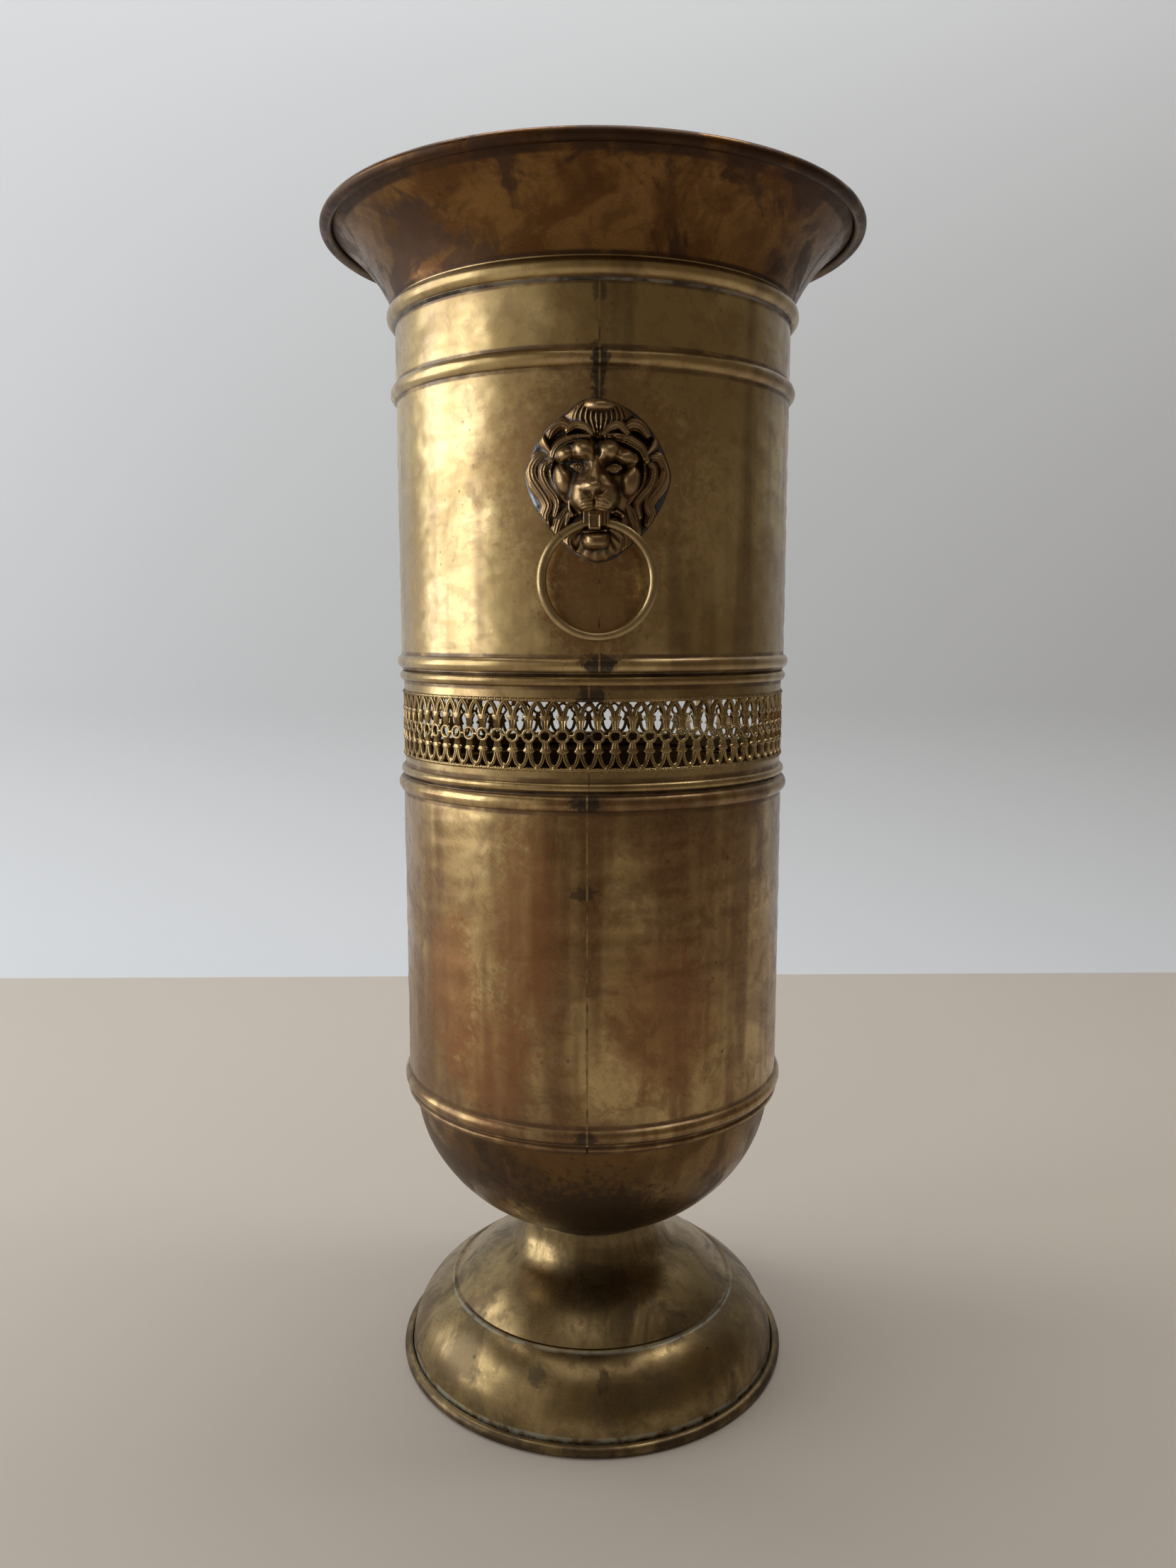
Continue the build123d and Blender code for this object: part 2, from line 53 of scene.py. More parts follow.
def arcAbout(centre, radius, start, end, count):
    turns = np.radians(np.linspace(start, end, count))
    return [(centre[0] + radius * math.cos(t), centre[1] + radius * math.sin(t)) for t in turns]


def arcFrom(point, heading, end, count):
    # arc that leaves a point along a heading and reaches an end
    here, there = Vector(point), Vector(end)
    ahead = Vector(heading).normalized()
    side = Vector((-ahead.y, ahead.x))
    gap = there - here
    bend = gap.length_squared / (2 * gap.dot(side))
    centre = here + side * bend
    start = math.atan2(here.y - centre.y, here.x - centre.x)
    stop = math.atan2(there.y - centre.y, there.x - centre.x)
    sweep = (stop - start) % fullTurn
    if bend < 0:
        sweep -= fullTurn
    turns = [start + sweep * i / (count - 1) for i in range(count)]
    return [(centre.x + abs(bend) * math.cos(t), centre.y + abs(bend) * math.sin(t)) for t in turns]


def headingAt(line):
    # direction in which a line ends
    return (line[-1][0] - line[-2][0], line[-1][1] - line[-2][1])


def bead(radius, middle, height, swell, count=11):
    bend = (height * height / 4 + swell * swell) / (2 * swell)
    reach = math.degrees(math.asin(height / 2 / bend))
    return arcAbout((radius + swell - bend, middle), bend, -reach, reach, count)


def straight(start, end, step):
    count = max(2, round(math.dist(start, end) / step) + 1)
    return [tuple(p) for p in np.linspace(start, end, count)]


def joined(*lines):
    # lines end to end, without doubled points
    out = []
    for line in lines:
        for point in line:
            if not out or math.dist(out[-1], point) > 1e-4:
                out.append(tuple(point))
    return out


def offsetLine(line, gap):
    points = np.array(line)
    heading = np.gradient(points, axis=0)
    heading /= np.linalg.norm(heading, axis=1)[:, None]
    return points + np.stack([-heading[:, 1], heading[:, 0]], 1) * gap


def smoothStep(low, high, value):
    share = np.clip((value - low) / (high - low), 0, 1)
    return share * share * (3 - 2 * share)


def addLoop(mesh, points):
    verts = [mesh.verts.new(p) for p in points]
    edges = [mesh.edges.new((verts[i - 1], verts[i])) for i in range(len(verts))]
    return verts, edges


def vertsIn(made):
    return [g for g in made if isinstance(g, bmesh.types.BMVert)]


def spinLoop(mesh, points, centre, axis, turn, steps, merge=True):
    verts, edges = addLoop(mesh, points)
    bmesh.ops.spin(
        mesh, geom=verts + edges, cent=centre, axis=axis, angle=turn, steps=steps, use_merge=merge
    )


def spinSheet(mesh, line, gap, start=0.0, opening=0.0):
    # sheet of even thickness spun round the axis, open at its soldered joint if it has one
    outline = list(line) + [tuple(p) for p in offsetLine(line, gap)[::-1]]
    turn = math.radians(start + opening / 2)
    points = [(r * math.cos(turn), r * math.sin(turn), z) for r, z in outline]
    turn = math.radians(360 - opening)
    spinLoop(mesh, points, (0, 0, 0), (0, 0, 1), turn, ringSteps, opening == 0)


def hammer(mesh, low, high, fade, across, up, seed, deep):
    # planishing marks that both faces of a sheet share
    for vert in mesh.verts:
        radius = math.hypot(vert.co.x, vert.co.y)
        if low < vert.co.z < high:
            turn = math.atan2(vert.co.y, vert.co.x)
            edge = min(vert.co.z - low, high - vert.co.z) / fade
            around = Vector((math.cos(turn), math.sin(turn), 0)) * radius / across
            rise = vert.co.z / up
            broad = noise.noise(around + Vector((0, 0, rise + seed)))
            fine = noise.noise(around * 2.6 + Vector((0, 0, rise * 2.3 - seed)))
            shift = (broad * 0.7 + fine * 0.4) * deep * min(1.0, edge)
            grow = (radius + shift) / radius
            vert.co.x *= grow
            vert.co.y *= grow


def finishPiece(name, mesh, materials, body, nodes, sharp=38):
    bmesh.ops.recalc_face_normals(mesh, faces=mesh.faces)
    for face in mesh.faces:
        face.smooth = True
    bmesh.ops.scale(mesh, vec=(mm, mm, mm), verts=mesh.verts)
    data = bpy.data.meshes.new(name)
    mesh.to_mesh(data)
    mesh.free()
    data.set_sharp_from_angle(angle=math.radians(sharp))
    made = bpy.data.objects.new(name, data)
    bpy.context.scene.collection.objects.link(made)
    for material in materials:
        data.materials.append(material)
    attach(made, body)
    if nodes:
        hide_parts(*nodes)


def lineInside(mesh):
    # faces that look at the axis take the second material
    bmesh.ops.recalc_face_normals(mesh, faces=mesh.faces)
    for face in mesh.faces:
        middle = face.calc_center_median()
        outward = Vector((middle.x, middle.y, 0)).normalized()
        if face.normal.dot(outward) < -0.25:
            face.material_index = 1


# Materials: the node tree that is being filled is kept in one place
painted = {"tree": None}


def addNode(kind, inputs, **settings):
    tree = painted["tree"]
    made = tree.nodes.new(kind)
    for key, value in settings.items():
        setattr(made, key, value)
    for key, value in inputs.items():
        socket = made.inputs[key]
        if isinstance(value, bpy.types.NodeSocket):
            tree.links.new(value, socket)
        else:
            socket.default_value = value
    return made


def vectorStep(operation, first, second=(0, 0, 0)):
    made = addNode("ShaderNodeVectorMath", {0: first, 1: second}, operation=operation)
    return made.outputs["Value" if operation == "LENGTH" else "Vector"]


def axisOf(vector, index):
    return addNode("ShaderNodeSeparateXYZ", {0: vector}).outputs[index]


def stretch(vector, scale, turn=0.0):
    # turned about the second axis, then drawn out
    turned = addNode("ShaderNodeMapping", {"Vector": vector, "Rotation": (0, turn, 0)})
    return addNode("ShaderNodeMapping", {"Vector": turned.outputs[0], "Scale": scale}).outputs[0]


def wrapped(coords):
    # way round the axis from the front, distance from the axis, and height
    parts = addNode("ShaderNodeSeparateXYZ", {0: coords}).outputs
    turn = combine("ARCTAN2", parts[0], times(parts[1], -1.0))
    out = vectorStep("LENGTH", vectorStep("MULTIPLY", coords, (1, 1, 0)))
    around = times(turn, 0.1)
    return addNode("ShaderNodeCombineXYZ", {0: around, 1: out, 2: parts[2]}).outputs[0]


def cloud(vector, scale, detail=4.0, rough=0.55, bend=0.0):
    inputs = {"Vector": vector, "Scale": scale, "Detail": detail}
    inputs |= {"Roughness": rough, "Distortion": bend}
    return addNode("ShaderNodeTexNoise", inputs).outputs["Fac"]


def spots(vector, scale):
    return addNode("ShaderNodeTexVoronoi", {"Vector": vector, "Scale": scale}).outputs["Distance"]


def between(value, low, high, to0=0.0, to1=1.0):
    inputs = {"Value": value, "From Min": low, "From Max": high, "To Min": to0, "To Max": to1}
    return addNode("ShaderNodeMapRange", inputs, interpolation_type="SMOOTHSTEP").outputs[0]


def combine(operation, first, second, third=0.0):
    inputs = {0: first, 1: second, 2: third}
    return addNode("ShaderNodeMath", inputs, operation=operation).outputs[0]


def times(first, second):
    return combine("MULTIPLY", first, second)


def tint(share, first, second):
    inputs = {0: share, 6: first, 7: second}
    return addNode("ShaderNodeMix", inputs, data_type="RGBA").outputs[2]


def colour(red, green, blue):
    return (red, green, blue, 1.0)


def startMaterial(name):
    made = bpy.data.materials.new(name)
    made.use_nodes = True
    painted["tree"] = made.node_tree
    coords = addNode("ShaderNodeTexCoord", {}).outputs["Object"]
    return made, made.node_tree.nodes["Principled BSDF"].inputs, coords


def feed(socket, source):
    painted["tree"].links.new(source, socket)


def nearPlace(coords, place, reach, ragged):
    # 1 at a place, falling to 0 at its ragged edge
    gap = vectorStep("DIVIDE", vectorStep("SUBTRACT", coords, place), reach)
    far = vectorStep("LENGTH", gap)
    return between(combine("ADD", far, ragged), 0.75, 1.35, 1, 0)


def within(value, low, high, outside, inside=0.0, share=1.0):
    # share between two limits, falling to 0 over their soft edges
    rise = between(value, low - outside, low + inside)
    fall = between(value, high - inside, high + outside, share, 0)
    return times(rise, fall)


def agedBrass(name, look):
    made, sockets, coords = startMaterial(name)
    flat = wrapped(coords)
    upright = stretch(flat, (1, 1, look["streakLong"]))
    patches = between(cloud(coords, look["patchScale"], 5, 0.6, 0.4), *look["patchRange"])
    tone = tint(patches, look["bright"], look["middle"])
    stainsAndShade = between(cloud(coords, look["stainScale"], 6, 0.65, 0.8), *look["stainRange"])
    stainsAndShade = times(stainsAndShade, look["stainShare"])
    tone = tint(stainsAndShade, tone, look["dark"])
    # dark upright streaks: tarnish, and on the upper drum also painted dark reflections of the room
    streaksAndReflections = between(cloud(upright, look["streakScale"], 3, 0.6), *look["streakRange"])
    tone = tint(times(streaksAndReflections, look["streakShare"]), tone, look["streakAndReflection"])
    mottle = cloud(flat, look["mottleScale"], 7, 0.72, 0.6)
    mottle = between(mottle, 0.47, 0.62, 0, look["mottleShare"])
    tone = tint(mottle, tone, look["mottle"])
    # rubbed hairlines, slanted as they were polished
    rubbed = cloud(stretch(flat, (1, 1, 0.05), look["rubTurn"]), 2200, 2, 0.5)
    crossed = cloud(stretch(flat, (1, 1, 0.1), look["rubTurn"] + 0.9), 1800, 2, 0.5)
    rubbed = tint(between(cloud(coords, 24, 2), 0.3, 0.7), rubbed, crossed)
    tone = tint(between(rubbed, 0.52, 0.72, 0, look["rubShare"]), tone, look["bright"])
    specks = between(spots(coords, look["speckScale"]), 0.05, 0.16, look["speckShare"], 0)
    gate = between(cloud(coords, 22, 2), 0.5, 0.62)
    tone = tint(times(specks, gate), tone, look["dark"])
    grain = cloud(coords, 420, 3)
    tone = tint(between(grain, 0.35, 0.7, 0, 0.22), tone, look["middle"])
    ragged = combine("MULTIPLY_ADD", cloud(coords, 300, 5, 0.7), 2.6, -1.3)
    # reddish tints at given places: heat tint from soldering round the mask, and on the lower drum
    # a painted reflection of a reddish floor
    for place, reach, share in look["heatTintsAndReflections"]:
        heatTintAndReflection = times(nearPlace(coords, place, reach, ragged), share)
        tone = tint(heatTintAndReflection, tone, look["heatTintAndReflection"])
    # dark patches at given places: solder blotches and spots, and painted shade on the bowl's
    # underside and at the foot's neck
    for place, reach, share in look["blotchesAndShade"]:
        blotchAndShade = times(nearPlace(coords, place, reach, ragged), share)
        tone = tint(blotchAndShade, tone, look["blotchAndShade"])
        stainsAndShade = combine("MAXIMUM", stainsAndShade, blotchAndShade)
    height = axisOf(coords, 2)
    # dark bands at given heights: patina in grooves and along edges, and painted shade under the
    # lower drum's lip and on the bowl beneath it
    grimeAndShade = 0.0
    for low, high in look["grimeAndShade"]:
        grimeAndShade = combine("MAXIMUM", grimeAndShade, within(height, low, high, 0.0012))
    if look["grimeAndShade"]:
        uneven = between(cloud(coords, 60, 4, 0.6), 0.34, 0.58, 0.3, 0.9)
        grimeAndShade = times(grimeAndShade, uneven)
        tone = tint(grimeAndShade, tone, look["dark"])
        stainsAndShade = combine("MAXIMUM", stainsAndShade, grimeAndShade)
    chalk = 0.0
    if look["powder"]:
        crusts = between(cloud(coords, 120, 5, 0.65), *look["powderRange"])
        out = axisOf(flat, 1)
        for low, high, inner, outer, share in look["powder"]:
            level = within(height, low, high, 0.0006, 0.0003, share)
            band = times(level, within(out, inner, outer, 0.0005, 0.0005))
            chalk = combine("MAXIMUM", chalk, band)
        chalk = times(chalk, crusts)
        tone = tint(chalk, tone, look["verdigris"])
        stainsAndShade = combine("MAXIMUM", stainsAndShade, chalk)
    feed(sockets["Base Color"], tone)
    dull = times(stainsAndShade, look["dull"])
    dull = combine("ADD", dull, times(mottle, 0.16))
    rough = combine("ADD", between(rubbed, 0.3, 0.75, *look["rough"]), dull)
    feed(sockets["Roughness"], rough)
    feed(sockets["Metallic"], between(stainsAndShade, 0, 1, 1.0, look["stainMetal"]))
    dents = times(cloud(coords, look["dentScale"], 2, 0.5), look["dentShare"])
    dents = combine("ADD", dents, times(rubbed, 0.03))
    bump = {"Height": dents, "Strength": look["bump"], "Distance": 0.0004}
    feed(sockets["Normal"], addNode("ShaderNodeBump", bump).outputs[0])
    sockets["Coat Weight"].default_value = look["coat"]
    sockets["Coat Roughness"].default_value = 0.22
    return made


brassLook = {
    "bright": colour(0.60, 0.45, 0.21),
    "middle": colour(0.42, 0.29, 0.12),
    "dark": colour(0.12, 0.065, 0.03),
    "patchScale": 14.0,
    "patchRange": (0.36, 0.66),
    "stainScale": 11.0,
    "stainRange": (0.55, 0.75),
    "stainShare": 0.6,
    "stainMetal": 0.75,
    "streakAndReflection": colour(0.12, 0.065, 0.03),
    "streakLong": 0.1,
    "streakScale": 60.0,
    "streakRange": (0.46, 0.7),
    "streakShare": 0.35,
    "mottle": colour(0.16, 0.09, 0.038),
    "mottleScale": 70.0,
    "mottleShare": 0.3,
    "coat": 0.2,
    "rubTurn": 0.6,
    "rubShare": 0.18,
    "speckScale": 150.0,
    "speckShare": 0.7,
    "rough": (0.25, 0.33),
    "dull": 0.22,
    "dentScale": 60.0,
    "dentShare": 0.4,
    "bump": 0.3,
    "blotchAndShade": colour(0.035, 0.022, 0.013),
    "grimeAndShade": [],
    "blotchesAndShade": [],
    "heatTintAndReflection": colour(0.26, 0.12, 0.045),
    "heatTintsAndReflections": [],
    "verdigris": colour(0.4, 0.45, 0.41),
    "powder": [],
    "powderRange": (0.5, 0.62),
}
# darker, redder copy of the brass: its dark patina, and a painted reflection of a dark reddish
# floor
mouthReflectionLook = brassLook | {
    "coat": 0.0,
    "bright": colour(0.215, 0.11, 0.036),
    "middle": colour(0.12, 0.055, 0.018),
    "dark": colour(0.045, 0.02, 0.009),
    "mottle": colour(0.07, 0.033, 0.014),
    "mottleShare": 0.45,
    "stainScale": 24.0,
    "stainRange": (0.49, 0.58),
    "stainShare": 0.85,
    "patchScale": 36.0,
    "patchRange": (0.42, 0.58),
    "streakShare": 0.2,
    "grimeAndShade": [(0.5592, 0.5606), (0.5925, 0.5945)],
    "rubTurn": 1.5,
}
mouthReflectionBrass = agedBrass("mouthReflectionBrass", mouthReflectionLook)
upperLook = brassLook | {
    # stronger dark upright streaks, partly tarnish and partly painted dark reflections
    "streakScale": 30.0,
    "streakShare": 0.55,
    "streakRange": (0.5, 0.64),
    "streakLong": 0.07,
    "coat": 0.5,
    "rough": (0.29, 0.4),
    "patchRange": (0.4, 0.6),
    "grimeAndShade": [
        (0.3805, 0.3812),
        (0.388, 0.3888),
        (0.5125, 0.5134),
        (0.5217, 0.5224),
        (0.5485, 0.5503),
    ],
    "heatTintsAndReflections": [
        ((0.0, -0.1, 0.4655), (0.042, 0.06, 0.046), 0.45),
        ((-0.001, -0.1, 0.412), (0.02, 0.06, 0.024), 0.6),
    ],
    "blotchesAndShade": [
        ((0.001, -0.1, 0.517), (0.004, 0.03, 0.006), 0.95),
        ((0.0005, -0.1, 0.507), (0.003, 0.03, 0.008), 0.9),
        ((0.001, -0.1, 0.545), (0.003, 0.03, 0.004), 0.7),
        ((0.001, -0.1, 0.385), (0.007, 0.03, 0.004), 0.95),
    ],
}
upperBrass = agedBrass("upperBrass", upperLook)
lowerLook = brassLook | {
    "bright": colour(0.57, 0.41, 0.19),
    "middle": colour(0.37, 0.24, 0.1),
    "streakAndReflection": colour(0.15, 0.07, 0.03),
    "stainRange": (0.5, 0.66),
    "streakScale": 38.0,
    "streakRange": (0.44, 0.6),
    "streakShare": 0.75,
    "mottleShare": 0.5,
    "mottle": colour(0.14, 0.062, 0.026),
    "patchRange": (0.42, 0.58),
    "speckShare": 0.9,
    "speckScale": 120.0,
    "rubTurn": 0.05,
    "grimeAndShade": [
        # painted shade under the narrow lip; the other bands are patina beside the beads
        (0.1538, 0.1547),
        (0.1572, 0.1582),
        (0.166, 0.1672),
        (0.3166, 0.3174),
        (0.3252, 0.3262),
    ],
    "heatTintAndReflection": colour(0.3, 0.125, 0.05),
    "heatTintsAndReflections": [
        # reddish patches: painted reflection of a reddish floor
        ((-0.032, -0.095, 0.262), (0.015, 0.06, 0.05), 0.5),
        ((-0.07, -0.072, 0.225), (0.012, 0.05, 0.036), 0.6),
        ((-0.05, -0.087, 0.196), (0.02, 0.05, 0.026), 0.5),
        ((0.03, -0.095, 0.215), (0.024, 0.05, 0.034), 0.4),
    ],
    "blotchesAndShade": [
        ((-0.005, -0.1, 0.3215), (0.007, 0.03, 0.004), 0.95),
        ((-0.006, -0.1, 0.28), (0.006, 0.03, 0.003), 0.7),
        ((-0.005, -0.1, 0.162), (0.005, 0.03, 0.003), 0.8),
    ],
}
lowerBrass = agedBrass("lowerBrass", lowerLook)
# darker copy of the brass: its tarnish, and painted shade for an underside that faces the floor
bowlShadedLook = brassLook | {
    "bright": colour(0.3, 0.19, 0.08),
    "middle": colour(0.14, 0.08, 0.033),
    "dark": colour(0.03, 0.017, 0.009),
    "patchRange": (0.42, 0.58),
    "stainScale": 20.0,
    "stainRange": (0.46, 0.58),
    "stainShare": 0.75,
    "streakShare": 0.6,
    "streakRange": (0.46, 0.6),
    "coat": 0.0,
    # painted shade at the front of the bowl's underside
    "blotchesAndShade": [((-0.002, -0.07, 0.107), (0.036, 0.06, 0.03), 0.7)],
    "mottle": colour(0.2, 0.1, 0.04),
    "mottleShare": 0.4,
    # painted shadow that the lower drum's lip casts on the bowl
    "grimeAndShade": [(0.1528, 0.1575)],
}
bowlShadedBrass = agedBrass("bowlShadedBrass", bowlShadedLook)
footLook = brassLook | {
    "bright": colour(0.38, 0.275, 0.13),
    "middle": colour(0.215, 0.15, 0.065),
    "dark": colour(0.05, 0.03, 0.014),
    "stainScale": 24.0,
    "stainRange": (0.48, 0.62),
    "stainShare": 0.65,
    "mottle": colour(0.09, 0.06, 0.03),
    "mottleShare": 0.4,
    "blotchesAndShade": [
        # the first is painted shade at the neck under the bowl; the rest are spots
        ((0.01, -0.04, 0.074), (0.03, 0.04, 0.02), 0.35),
        ((-0.03, -0.09, 0.031), (0.005, 0.01, 0.004), 0.7),
        ((0.004, -0.094, 0.03), (0.003, 0.01, 0.004), 0.6),
        ((0.042, -0.062, 0.0415), (0.006, 0.012, 0.005), 0.6),
    ],
    "grimeAndShade": [(0.0, 0.0045)],
    "speckShare": 0.9,
    "speckScale": 110.0,
    "rubTurn": 1.5,
    "powder": [(0.037, 0.0385, 0.0777, 0.0793, 0.55), (0.003, 0.0075, 0.0995, 0.1022, 0.8)],
    "powderRange": (0.36, 0.54),
    "verdigris": colour(0.42, 0.44, 0.37),
    "coat": 0.1,
}
footBrass = agedBrass("footBrass", footLook)
galleryLook = brassLook | {
    "bright": colour(0.48, 0.35, 0.16),
    "middle": colour(0.3, 0.2, 0.085),
    "patchScale": 30.0,
    "rough": (0.24, 0.34),
    "grimeAndShade": [(0.3256, 0.3264), (0.3315, 0.3325), (0.3738, 0.3748), (0.3802, 0.381)],
    "bump": 0.15,
    "blotchesAndShade": [
        ((-0.003, -0.1, 0.371), (0.006, 0.03, 0.004), 0.9),
        ((-0.0035, -0.1, 0.352), (0.003, 0.03, 0.004), 0.8),
    ],
}
galleryBrass = agedBrass("galleryBrass", galleryLook)
ringLook = brassLook | {
    "bright": colour(0.5, 0.38, 0.19),
    "middle": colour(0.34, 0.24, 0.11),
    "stainShare": 0.3,
    "streakShare": 0.1,
    "rough": (0.28, 0.36),
    "bump": 0.12,
}
ringBrass = agedBrass("ringBrass", ringLook)
insideLook = brassLook | {
    "bright": colour(0.2, 0.13, 0.055),
    "middle": colour(0.1, 0.06, 0.025),
    "dark": colour(0.03, 0.017, 0.009),
    "stainShare": 0.8,
    "stainMetal": 0.3,
    "rough": (0.45, 0.6),
}
insideBrass = agedBrass("insideBrass", insideLook)


def plainMetal(name, first, second, scale, rough, metal):
    made, sockets, coords = startMaterial(name)
    share = between(cloud(coords, scale, 5, 0.6, 0.5), 0.4, 0.65)
    feed(sockets["Base Color"], tint(share, first, second))
    feed(sockets["Roughness"], between(share, 0, 1, *rough))
    sockets["Metallic"].default_value = metal
    return made


seamSolder = plainMetal(
    "seamSolder", colour(0.42, 0.3, 0.13), colour(0.16, 0.1, 0.05), 90.0, (0.34, 0.5), 0.95
)
solderGrey = plainMetal(
    "solderGrey", colour(0.2, 0.17, 0.13), colour(0.06, 0.045, 0.035), 60.0, (0.4, 0.6), 0.85
)
ironWire = plainMetal(
    "ironWire", colour(0.09, 0.06, 0.045), colour(0.03, 0.02, 0.018), 90.0, (0.5, 0.7), 0.7
)
platedSteel = plainMetal(
    "platedSteel", colour(0.5, 0.48, 0.44), colour(0.28, 0.24, 0.2), 70.0, (0.3, 0.5), 1.0
)
bronze = {
    "hollow": colour(0.045, 0.027, 0.015),
    "body": colour(0.25, 0.16, 0.08),
    "rubbed": colour(0.46, 0.33, 0.17),
    "chalk": colour(0.36, 0.38, 0.38),
    "solder": colour(0.07, 0.075, 0.085),
    "solderChalk": colour(0.42, 0.46, 0.52),
}


def carvedBronze():
    # relief: 0 in the hollows, 1 on the rubbed heights; border: 1 on the flat solder round the mask
    made, sockets, coords = startMaterial("carvedBronze")
    relief = addNode("ShaderNodeAttribute", {}, attribute_name="relief").outputs["Fac"]
    border = addNode("ShaderNodeAttribute", {}, attribute_name="border").outputs["Fac"]
    mottle = cloud(coords, 160, 4, 0.6)
    worn = combine("ADD", relief, combine("MULTIPLY_ADD", mottle, 0.5, -0.25))
    tone = tint(between(worn, 0.1, 0.5), bronze["hollow"], bronze["body"])
    tone = tint(between(worn, 0.55, 0.95), tone, bronze["rubbed"])
    powder = between(cloud(coords, 110, 5, 0.65), 0.44, 0.6)
    hollow = between(relief, 0.2, 0.48, 1, 0)
    # more powder was left on the lion's right; fading it to dark solder towards the lion's left
    # also paints shade on the side away from the light
    side = between(axisOf(coords, 0), -0.022, 0.012, 0.8, 0.08)
    chalk = times(times(powder, hollow), side)
    tone = tint(chalk, tone, bronze["chalk"])
    dustAndSideShade = times(powder, side)
    tone = tint(border, tone, tint(dustAndSideShade, bronze["solder"], bronze["solderChalk"]))
    feed(sockets["Base Color"], tone)
    rough = between(worn, 0.2, 0.9, 0.5, 0.3)
    rough = combine("ADD", rough, times(chalk, 0.3))
    feed(sockets["Roughness"], rough)
    feed(sockets["Metallic"], between(chalk, 0, 1, 1, 0.25))
    bump = {"Height": mottle, "Strength": 0.12, "Distance": 0.0003}
    feed(sockets["Normal"], addNode("ShaderNodeBump", bump).outputs[0])
    return made


maskBronze = carvedBronze()
print("materials made")

# Mouth: collar, bead, flare and an edge rolled outwards round its wire
mouth = {"collar": 101.4, "foot": 550.3, "bead": (554.8, 8.4, 3.1), "neck": 559.5}
mouth |= {"wire": (133.0, 595.2), "curl": 2.0, "lip": 34.0, "turn": 300.0}
mouthStart = 90 + mouth["lip"]
lipAt = arcAbout(mouth["wire"], mouth["curl"], mouthStart, mouthStart - mouth["turn"], 26)
lipHeading = (-math.cos(math.radians(mouth["lip"])), -math.sin(math.radians(mouth["lip"])))
flare = arcFrom(lipAt[0], lipHeading, (mouth["collar"], mouth["neck"]), 24)[::-1]
mouthLine = joined(
    [(mouth["collar"], mouth["foot"])],
    bead(mouth["collar"], *mouth["bead"]),
    flare,
    lipAt,
)
mesh = bmesh.new()
spinSheet(mesh, mouthLine, sheet)
hammer(mesh, low=558, high=592, fade=10, across=26, up=18, seed=3.1, deep=0.25)
lineInside(mesh)
for face in mesh.faces:
    # collar and bead have the upper drum's finish
    if face.material_index == 0 and face.calc_center_median().z < mouth["neck"] + 0.6:
        face.material_index = 2
mouthMaterials = [mouthReflectionBrass, insideBrass, upperBrass]
finishPiece("mouth", mesh, mouthMaterials, "stand", ["flared_mouth"])


def drum(name, settings, materials, nodes):
    line = [(settings["radius"], settings["low"])]
    for middle, height, swell in settings["beads"]:
        rise = bead(settings["radius"], middle, height, swell)
        line = joined(line, straight(line[-1], rise[0], 2.0), rise)
    line = joined(line, straight(line[-1], (settings["radius"], settings["high"]), 2.0))
    mesh = bmesh.new()
    start = frontTurn + settings["seam"]
    spinSheet(mesh, line, sheet, start, math.degrees(seamWidth / settings["radius"]))
    hammer(mesh, **settings["wave"])
    lineInside(mesh)
    finishPiece(name, mesh, materials, "stand", nodes)


upper = {"radius": drumRadius, "low": 380.7, "high": 558.3, "seam": 0.5}
upper |= {"beads": [(384.5, 6.8, 2.3), (517.6, 7.9, 2.9)]}
upper["wave"] = dict(low=382, high=549, fade=8, across=17, up=6, seed=7.7, deep=0.55)
drum("upperDrum", upper, [upperBrass, insideBrass], ["upper_cylinder"])

# The lower drum's edge ends in a narrow lip that hangs over the bowl
lower = {"radius": drumRadius, "low": 154.1, "high": 325.7, "seam": -2.6}
lower |= {"beads": [(155.9, 2.8, 0.9), (162.1, 7.4, 2.4), (321.5, 7.6, 2.5)]}
lower["wave"] = dict(low=159, high=324, fade=8, across=44, up=8.5, seed=1.9, deep=0.45)
drum("lowerDrum", lower, [lowerBrass, insideBrass], ["lower_cylinder"])

# Bowl: flat seat, hollow and the collar inside the lower drum
bowl = {"seat": 34.5, "floor": 80.2, "radius": 96.9, "lip": 155.8}
bowl |= {"collar": 99.4, "step": 157.5, "top": 165.5}
bowlDrop = (bowl["lip"] - bowl["floor"]) / math.sqrt(1 - (bowl["seat"] / bowl["radius"]) ** 2)
bowlTurns = np.linspace(math.acos(bowl["seat"] / bowl["radius"]), 0, 36)
hollow = [(bowl["radius"] * math.cos(t), bowl["lip"] - bowlDrop * math.sin(t)) for t in bowlTurns]
bowlLine = joined(
    straight((boltHole, bowl["floor"]), (bowl["seat"], bowl["floor"]), 6),
    hollow,
    [(bowl["collar"], bowl["step"]), (bowl["collar"], bowl["top"])],
)
mesh = bmesh.new()
spinSheet(mesh, bowlLine, sheet)
hammer(mesh, low=86, high=154, fade=8, across=30, up=16, seed=5.2, deep=0.25)
lineInside(mesh)
finishPiece("bowl", mesh, [bowlShadedBrass, insideBrass], "stand", ["bowl"])

